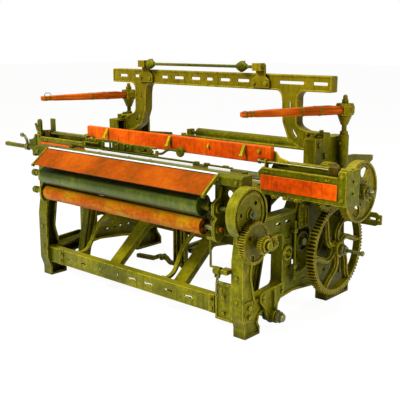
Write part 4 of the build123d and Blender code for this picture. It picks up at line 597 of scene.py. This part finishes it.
for x in (698, -732):
    hardware.oiler(at(x, TAKE_UP[0], TAKE_UP[1] + 26), 0.7)
    hardware.oiler(at(x, CLOTH[0], CLOTH[1] + 21), 0.65)
for radius in (38, 54):
    hardware.bolt(at(FRAME_OUT_X + 20, *around(TAKE_UP, radius, 78)), RIGHT, 10, 2)
hardware.piece()

# Crankshaft: set screws of the flywheel and pinion, key and turned end
crank = Group("crank_hardware", "crank", STEEL, "steel")
for a in (90, 180):
    crank.set_screw(at(1156, *around(CRANK, 40, a)), outwards(a))
    crank.set_screw(at(961, *around(CRANK, 42, a + 45)), outwards(a + 45))
key_place = turn_to(at(1174, CRANK[0], CRANK[1] + 24), RIGHT)
crank.prism([(-4, -6), (4, -6), (4, 6), (-4, 6)], 0, 9, key_place, 0.1)
turned_end = [(17.9, 0), (18.3, 0), (18.3, 24), (16.8, 25.4), (6, 25.4), (3, 22), (0, 21)]
crank.lathe_x(turned_end, 1189, CRANK, 32)
crank.piece()

# Tappet shaft: bright sleeve and set screws
tappet = Group("tappet_hardware", "tappet_line", STEEL, "steel")
tappet.lathe_x([(22.1, 0), (29, 0), (30, 1), (30, 20), (27, 24), (22.1, 24)], 965, TAPPET, 32)
for a in (70, 190):
    tappet.set_screw(at(957, *around(TAPPET, 44, a)), outwards(a), 10, 12)
for x in (-62, 62):
    tappet.set_screw(at(x, TAPPET[0], TAPPET[1] + 22), UP, 9, 14)
tappet.piece()

collar = Group("tappet_end_collar", "tappet_line", STEEL, "steel")
collar.lathe_x([(10.1, 0), (14, 0), (15, 1), (15, 10), (13, 12), (10.1, 12)], 1093, TAPPET, 28)
collar.piece()


# Sley: coach bolts, cap screws, spindle buffers and the swell springs of the shuttle boxes
def swell_spring(side):
    """Bowed leaf along the back of a shuttle box."""
    first_x, last_x, step = 800, 1100, 20
    low, high = 790, 834
    thickness, bow = 3, 14
    vertices = []
    for x in range(first_x, last_x + 1, step):
        front = 384 + bow * sin(pi * (x - first_x) / (last_x - first_x))
        for y, z in ((front, low), (front, high), (front + thickness, high), (front + thickness, low)):
            vertices.append(at(side * x, y, z))
    faces = [(0, 1, 2, 3), tuple(range(len(vertices) - 4, len(vertices)))]
    for first in range(0, len(vertices) - 4, 4):
        for k in range(4):
            a, b = first + k, first + (k + 1) % 4
            faces.append((a, b, b + 4, a + 4))
    return vertices, faces


sley = Group("sley_hardware", "sley", OLIVE, "olive_paint")
buffers = Group("spindle_buffers", "sley", HIDE, "hide")
springs = Group("swell_springs", "sley", STEEL, "steel")
buffer_profile = []
for turn in range(4):
    low, radius = turn * 5, 15 + turn % 2
    buffer_profile += [(7.2, low), (radius, low + 0.4), (radius, low + 4.4), (7.2, low + 4.9)]
for side in (-1, 1):
    for x in (684, 716):
        for y in (312, 384):
            sley.bolt(at(side * x, y, SLEY_TOP_Z), UP, 15, 7)
    for x in (760, 842, 924, 1006, 1088, 1160):
        sley.bolt(at(side * x, 382, 762), BACK, 11, 6)
    for z in (742, 858):
        sley.bolt(at(side * BOX_POST_X, BOX_FRONT_Y, z), FRONT, 17, 8)
    for z in (770, 830):
        sley.bolt(at(side * BOX_END_X, 340, z), (side, 0, 0), 15, 0.2)
    buffers.lathe(buffer_profile, turn_to(at(side * 1176, *SPINDLE), (-side, 0, 0)), 24)
    springs.add(*swell_spring(side))
sley.piece()
buffers.piece()
springs.piece()

# Picking sticks: (place along the stick, half width, half height) from the butt to the tip
STICK = [
    (46, 19, 14), (40, 29, 16.5), (0, 31, 17), (-51, 34, 17.2), (-58, 36.5, 21.5), (-90, 37, 24.5),
    (-190, 34, 24.5), (-330, 28, 22), (-480, 22, 19.5), (-586, 17.5, 17), (-602, 14, 14.8),
    (-622, 14, 14.8), (-636, 15.8, 16), (-662, 15, 15.4), (-670, 11.5, 12),
]


def stick_size(y):
    """Half width and half height of the stick at a place along it."""
    for (y0, w0, h0), (y1, w1, h1) in zip(STICK, STICK[1:]):
        if y0 >= y >= y1:
            t = (y0 - y) / (y0 - y1)
            return w0 + (w1 - w0) * t, h0 + (h1 - h0) * t
    return STICK[-1][1:]


def stick_rings(stations, grow=0.0):
    """Rounded-rectangle rings across the stick, and the faces that join them."""
    corner, steps = 0.34, 6
    n = 4 * steps
    points, faces = [], []
    for y in stations:
        w, h = (half + grow for half in stick_size(y))
        r = min(w, h) * corner
        for quarter, (across, up) in enumerate(((1, 1), (-1, 1), (-1, -1), (1, -1))):
            for k in range(steps):
                a = radians(90 * (quarter + k / (steps - 1)))
                x = across * (w - r) + r * cos(a)
                z = up * (h - r) + r * sin(a)
                points.append((x / 1000, y / 1000, z / 1000))
    for i in range(len(stations) - 1):
        for k in range(n):
            j = (k + 1) % n
            faces.append((i * n + k, i * n + j, (i + 1) * n + j, (i + 1) * n + k))
    faces += [tuple(range(n)), tuple(reversed(range(len(points) - n, len(points))))]
    return points, faces


def picking_head(group, pivot, stick):
    """Serrated clamping discs, the jaw behind the stick's butt and the threaded top of the shaft."""
    roots, tips = arc(47.5, 0, 360, 10), arc(50.5, 5, 360, 10)
    teeth = [point for pair in zip(roots, tips) for point in pair]
    for low, high in ((-29, -17.4), (17.4, 26)):
        group.prism(teeth, STICK_Z + low, STICK_Z + high, pivot)
    group.prism(arc(53.5, -44, 225, 6) + arc(47.9, 220, -45, -6), -20, 20, stick)
    crest = 14.2
    pairs, _ = threads(crest, 12.6, HEAD_TOP_Z, HEAD_TOP_Z + 12, 2.4, 1.6)
    tip = [(r, HEAD_TOP_Z + h) for r, h in ((13, 13.5), (12.5, 19), (8, 25), (0, 27.5))]
    group.lathe([(0, HEAD_TOP_Z), (crest, HEAD_TOP_Z), *pairs, *tip], pivot, 20)


# Thong round the notch of the left stick, in the stick's own place
THONG = [
    (0, -644, 15), (0, -646, 26), (0, -638, 34), (0, -624, 36), (0, -606, 33), (0, -600, 24), (0, -600, 13),
]

# The two sticks with their heads and bands
STATIONS = sorted({y for y, _, _ in STICK} | set(range(-560, -90, 30)), reverse=True)
for name, side, lean, wood in (
    ("right", 1, STICK_LEAN_R, STICK_WOOD_R),
    ("left", -1, STICK_LEAN_L, STICK_WOOD_L),
):
    body = "pick_" + name
    pivot = Matrix.Translation(at(side * PICK_X, PICK_Y, 0))
    stick = Matrix.Translation(at(side * PICK_X, PICK_Y, STICK_Z)) @ Matrix.Rotation(lean, 4, "Z")
    shaft = Group("picking_stick_wood_" + name, body, wood, "red_wood")
    shaft.add(*stick_rings(STATIONS), stick)
    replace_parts(shaft.piece(), "picking_stick_" + name)
    head = Group("picking_head_" + name, body, OLIVE, "olive_paint")
    picking_head(head, pivot, stick)
    head.piece()
    bands = Group("stick_bands_" + name, body, OLIVE_SHADE, "olive_paint")
    for y in (-642, -610, -300, -190):
        bands.add(*stick_rings([y + 4.4, y - 4.4], 1.5), stick)
    if name == "left":
        bands.tube([stick @ (Vector(place) / 1000) for place in THONG], 2.2)
    bands.piece()

# Heald roller: collars over the two balls
collars = Group("heald_collars", "heald_line", OLIVE_SHADE, "olive_paint")
half_collar = [(9, -36), (15, -36), (16, -34), (16, -29), (20, -27), (31.6, -5), (32.6, -4)]
for x in HEALD_BALL_X:
    collars.lathe_x(mirrored(half_collar), x, HEALD, 32)
    collars.set_screw(at(x + 20, HEALD[0], HEALD[1] + 24), UP, 8, 10)
collars.piece()

# Over the breast beam: fork holder, top edge rule and strips in near-white as painted highlight, and horned
# guide
fork = Group("weft_fork_holder", "frame", OLIVE_SHADE, "olive_paint")
fork.plate([
    (-470, 884), (-300, 884), (-300, 912), (-226, 916), (-226, 884), (-34, 884), (42, 896), (48, 902),
    (-30, 893), (-34, 900), (60, 908), (66, 900), (66, 884), (92, 884), (92, 910), (140, 910),
    (140, 922), (-150, 922), (-208, 932), (-310, 930), (-470, 922),
], 77, 86)
fork.plate([(-478, 868), (146, 868), (146, 885), (-478, 885)], 77, 90)
for x in (-462, -380, -306, -244, -176, -120, -64, 100):
    fork.plate([(x, 886), (x + 12, 886), (x + 12, 918), (x, 918)], 70, 78)
for x in (-460, -318, -60, 112):
    fork.slab((x, x + 20), (BEAM_BACK_Y + 0.2, 86), (826, BEAM_TOP_Z + 1.6))
    fork.slab((x, x + 20), (75, 88), (BEAM_TOP_Z + 1, 872))
for x, z in ((-440, 903), (-350, 903), (-190, 903), (-90, 903), (116, 897)):
    fork.bolt(at(x, 77, z), FRONT, 13, 7)
fork.tube([at(x, 62, 902) for x in (-470, -330)], 6, 12)
for x in (-452, -346):
    fork.tube([at(x, 62, 902), at(x, 80, 902)], 4)
fork.piece(bevel=1.2)

rule = Group("beam_edge_rule", "frame", WHITE_HIGHLIGHT, "steel")
rule_x = (-690, 688)
rule.slab(rule_x, (BEAM_FRONT_Y - 3, BEAM_FRONT_Y + 3), (BEAM_TOP_Z + 0.1, BEAM_TOP_Z + 2.6))
rule.slab(rule_x, (BEAM_FRONT_Y - 3, BEAM_FRONT_Y - 0.3), (BEAM_TOP_Z - 5, BEAM_TOP_Z + 1))
rule.piece(bevel=0.8)

strip = Group("white_highlight_strips", "frame", WHITE_HIGHLIGHT, "steel")
for x in ((-450, 438), (546, 694)):
    strip.slab(x, (BEAM_BACK_Y + 1, BEAM_BACK_Y + 4), (BEAM_TOP_Z - 6, BEAM_TOP_Z + 11))
strip.piece(bevel=0.6)

guide = Group("horned_guide", "frame", OLIVE_SHADE, "olive_paint")
guide.plate([
    (-934, 842), (-858, 842), (-858, 921), (-871, 923), (-876, 910), (-884, 899), (-897, 890), (-912, 886),
    (-934, 884),
], -6, 6)
guide.piece(bevel=1.5)

# Reed cap as a deep board with rounded edges and the groove for the reed
cap = Group("reed_cap_board", "sley", RED, "red_paint")
cap.beam([
    (328, 864), (336.5, 863), (336.5, 876), (346.5, 876), (346.5, 863), (355, 864), (358, 868),
    (358, 948), (356, 954), (350, 957), (331, 957), (326, 955), (325, 951), (325, 868),
], -747, 747)
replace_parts(cap.piece(bevel=1.2), "reed_cap")

# On the sley: stop and leaning piece of the left box, and the lever with its ball
stop = Group("box_stop", "sley", OLIVE_SHADE, "olive_paint")
stop_top = [(x - 1210, z + 954) for x, z in arc(18, 0, 181, 20)]
stop.plate([(-1192, 884), *stop_top, (-1228, 884)], 276, 294)
stop.plate([
    (-1227, 886), (-1227, 908), (-1240, 918), (-1253, 942), (-1262, 936), (-1248, 904), (-1240, 886),
], 276, 290)
stop.piece(bevel=1.5)

ball = Group("ball_lever", "sley", OLIVE_SHADE, "olive_paint")
lever_y = 297
lever_line = [
    (-74, 845), (-56, 843), (-38, 844), (-24, 848), (-12, 855), (0, 863), (13, 870), (26, 874.5),
    (40, 876.5), (56, 876.5), (72, 876), (98, 873), (118, 871),
]
ball.slab((-80, -64), (lever_y - 7, lever_y + 6), (SLEY_TOP_Z, 858))
ball.tube([at(x, lever_y, z) for x, z in lever_line], 7.5, 14)
ball_profile = [(0, -12), (22, -12), (27, -8), (29, 0), (27, 8), (22, 12), (0, 12)]
ball.lathe(ball_profile, turn_to(at(120, lever_y, 869), FRONT), 32)
ball.piece(bevel=1.0)

# Starting handle: flat bar over its rod, and the boss that turns on the rod
bar = Group("handle_bar", "frame", OLIVE, "olive_paint")
bar.plate([
    (-1198, 826), (-1198, 843), (-1190, 847), (-1150, 845), (-988, 843), (-988, 820.5), (-1190, 820.5),
], -12, 12)
bar.piece(bevel=2.0)

grip = Group("handle_boss", "handle", STEEL, "steel")
half_boss = [(11.2, -16), (20.4, -16), (21.6, -14), (21.6, -10), (20.4, -8)]
grip.lathe_x(mirrored(half_boss), HANDLE_X, HANDLE, 28)
grip.piece()

# Take-up and cloth rollers: stubs at the left, hub, sleeve and red end disc at the right
STUB_X = -834
for name, body, shaft_end, centre in (
    ("take_up_boss", "take_up", -800, TAKE_UP),
    ("cloth_boss", "cloth", -760, CLOTH),
):
    boss = Group(name, body, OLIVE, "olive_paint")
    reach = shaft_end - STUB_X
    boss.lathe_x([
        (0, 0), (20, 0), (22, 2), (22, 26), (19, 29), (15, 31), (14, 34), (14, reach + 12),
        (12.1, reach + 12), (12.1, reach + 0.1), (0, reach + 0.1),
    ], STUB_X, centre, 28)
    boss.piece()

hub = Group("take_up_hub", "take_up", OLIVE, "olive_paint")
hub_profile = [(22.1, 0), (24, 0), (25, 1.5), (25, 40), (23, 42), (22.1, 42)]
hub.lathe_x(hub_profile, ROLLER_END_X + 4, TAKE_UP, 36)
hub.piece()

sleeve = Group("cloth_shaft_sleeve", "cloth", STEEL, "steel")
sleeve.lathe_x([(12.1, 0), (14, 0), (14.5, 1), (14.5, 66), (12.1, 67)], ROLLER_END_X + 2, CLOTH, 32)
sleeve.piece()

disc = Group("cloth_roller_end", "cloth", RED, "red_paint")
disc_profile = [(13.3, 0), (39.5, 0), (39.5, 3), (36, 4), (20, 4), (17, 7), (13.3, 7)]
disc.lathe_x(disc_profile, ROLLER_END_X - 5.9, CLOTH, 48)
disc.piece()

# Beam wheel: collar and set screw, its turned face ring and the band of its guard
train = Group("take_up_hardware", "take_up", STEEL, "steel")
train.lathe_x([(12, 0), (21, 0), (22, 1), (22, 12), (20, 14), (12, 14)], WHEEL_FACE_X + 6, TAKE_UP, 28)
train.set_screw(at(WHEEL_FACE_X + 12, TAKE_UP[0], TAKE_UP[1] + 21), UP, 8, 10)
train.piece()

rim = Group("beam_wheel_rim", "take_up", WHEEL_PAINT, "olive_paint")
face = Matrix.Translation(at(WHEEL_FACE_X, *TAKE_UP)) @ Group.YZ_ALONG_X
rim_profile = [(92, 0.1), (105.5, 0.1), (107.4, 1.5), (107, 4), (105, 5.5), (95, 5.5), (92, 3.5)]
rim.lathe(rim_profile, face, 96)
rim.lathe([(21, 0.1), (30, 0.1), (31, 2), (29, 5), (21, 5)], face, 40)
rim.piece()

band = Group("wheel_guard_band", "frame", OLIVE, "olive_paint")
band.beam(arc(131, -52, 233, 5) + arc(123.4, 232, -53, -5), 858, WHEEL_FACE_X + 7, TAKE_UP)
band.piece(bevel=1.0)


# Camera at the photograph's place
def camera():
    """Lens, place and direction, solved from the photograph's straight lines."""
    data = bpy.data.cameras.new("camera")
    data.lens = 65.14
    data.sensor_width = 36
    made = link_object("camera", data)
    made.location = at(2979.3, -2751.7, 1500)
    azimuth, down = radians(41.586), radians(12.3564)
    look = Vector((-sin(azimuth) * cos(down), cos(azimuth) * cos(down), -sin(down)))
    made.rotation_mode = "QUATERNION"
    made.rotation_quaternion = look.to_track_quat("-Z", "Y")
    bpy.context.scene.camera = made


# Floor, white surroundings and studio light
def backdrop():
    """Pale floor, 80 metres wide, that glows nearly white to the camera."""
    s = Shader("studio_floor")
    s.bsdf.inputs["Base Color"].default_value = (0.93, 0.93, 0.93, 1)
    s.bsdf.inputs["Roughness"].default_value = 0.9
    glow = s.node("ShaderNodeEmission")
    glow.inputs["Color"].default_value = (1, 1, 1, 1)
    glow.inputs["Strength"].default_value = 1.06
    seen = s.node("ShaderNodeLightPath").outputs["Is Camera Ray"]
    both = s.node("ShaderNodeMixShader")
    s.link(s.times(seen, 0.88), both.inputs[0])
    s.link(s.bsdf.outputs[0], both.inputs[1])
    s.link(glow.outputs[0], both.inputs[2])
    s.link(both.outputs[0], s.out.inputs[0])
    half = 40
    corners = [(-half, -half, 0), (half, -half, 0), (half, half, 0), (-half, half, 0)]
    floor = mesh_piece("floor", corners, [(0, 1, 2, 3)], s.material)


def surroundings():
    """White where the camera sees past the loom, and a weak warm light on the loom."""
    world = bpy.data.worlds.new("studio")
    bpy.context.scene.world = world
    world.use_nodes = True
    tree = world.node_tree
    tree.nodes.clear()
    seen = tree.nodes.new("ShaderNodeBackground")
    seen.inputs["Color"].default_value = (1, 1, 1, 1)
    lit = tree.nodes.new("ShaderNodeBackground")
    lit.inputs["Color"].default_value = (1.0, 0.99, 0.90, 1)
    lit.inputs["Strength"].default_value = 0.38
    path = tree.nodes.new("ShaderNodeLightPath")
    mixed = tree.nodes.new("ShaderNodeMixShader")
    out = tree.nodes.new("ShaderNodeOutputWorld")
    tree.links.new(path.outputs["Is Camera Ray"], mixed.inputs[0])
    tree.links.new(lit.outputs[0], mixed.inputs[1])
    tree.links.new(seen.outputs[0], mixed.inputs[2])
    tree.links.new(mixed.outputs[0], out.inputs[0])


def lamp(name, place, aim, size, power):
    """Square area light; place, aim and size are in metres of the row frame."""
    data = bpy.data.lights.new(name, "AREA")
    data.size = size
    data.energy = power
    light = link_object(name, data)
    light.location = place
    light.rotation_mode = "QUATERNION"
    light.rotation_quaternion = (Vector(aim) - Vector(place)).to_track_quat("-Z", "Y")


camera()
backdrop()
surroundings()
lamp("key", (-1.4, -4.4, 4.6), (0, -0.1, 0.6), 1.2, 430)
lamp("side", (4.8, -1.0, 3.0), (0.6, 0.0, 0.6), 1.2, 110)
lamp("top", (0.2, 0.6, 4.8), (0, 0, 0.8), 1.8, 130)

bpy.context.scene.view_settings.view_transform = "Standard"
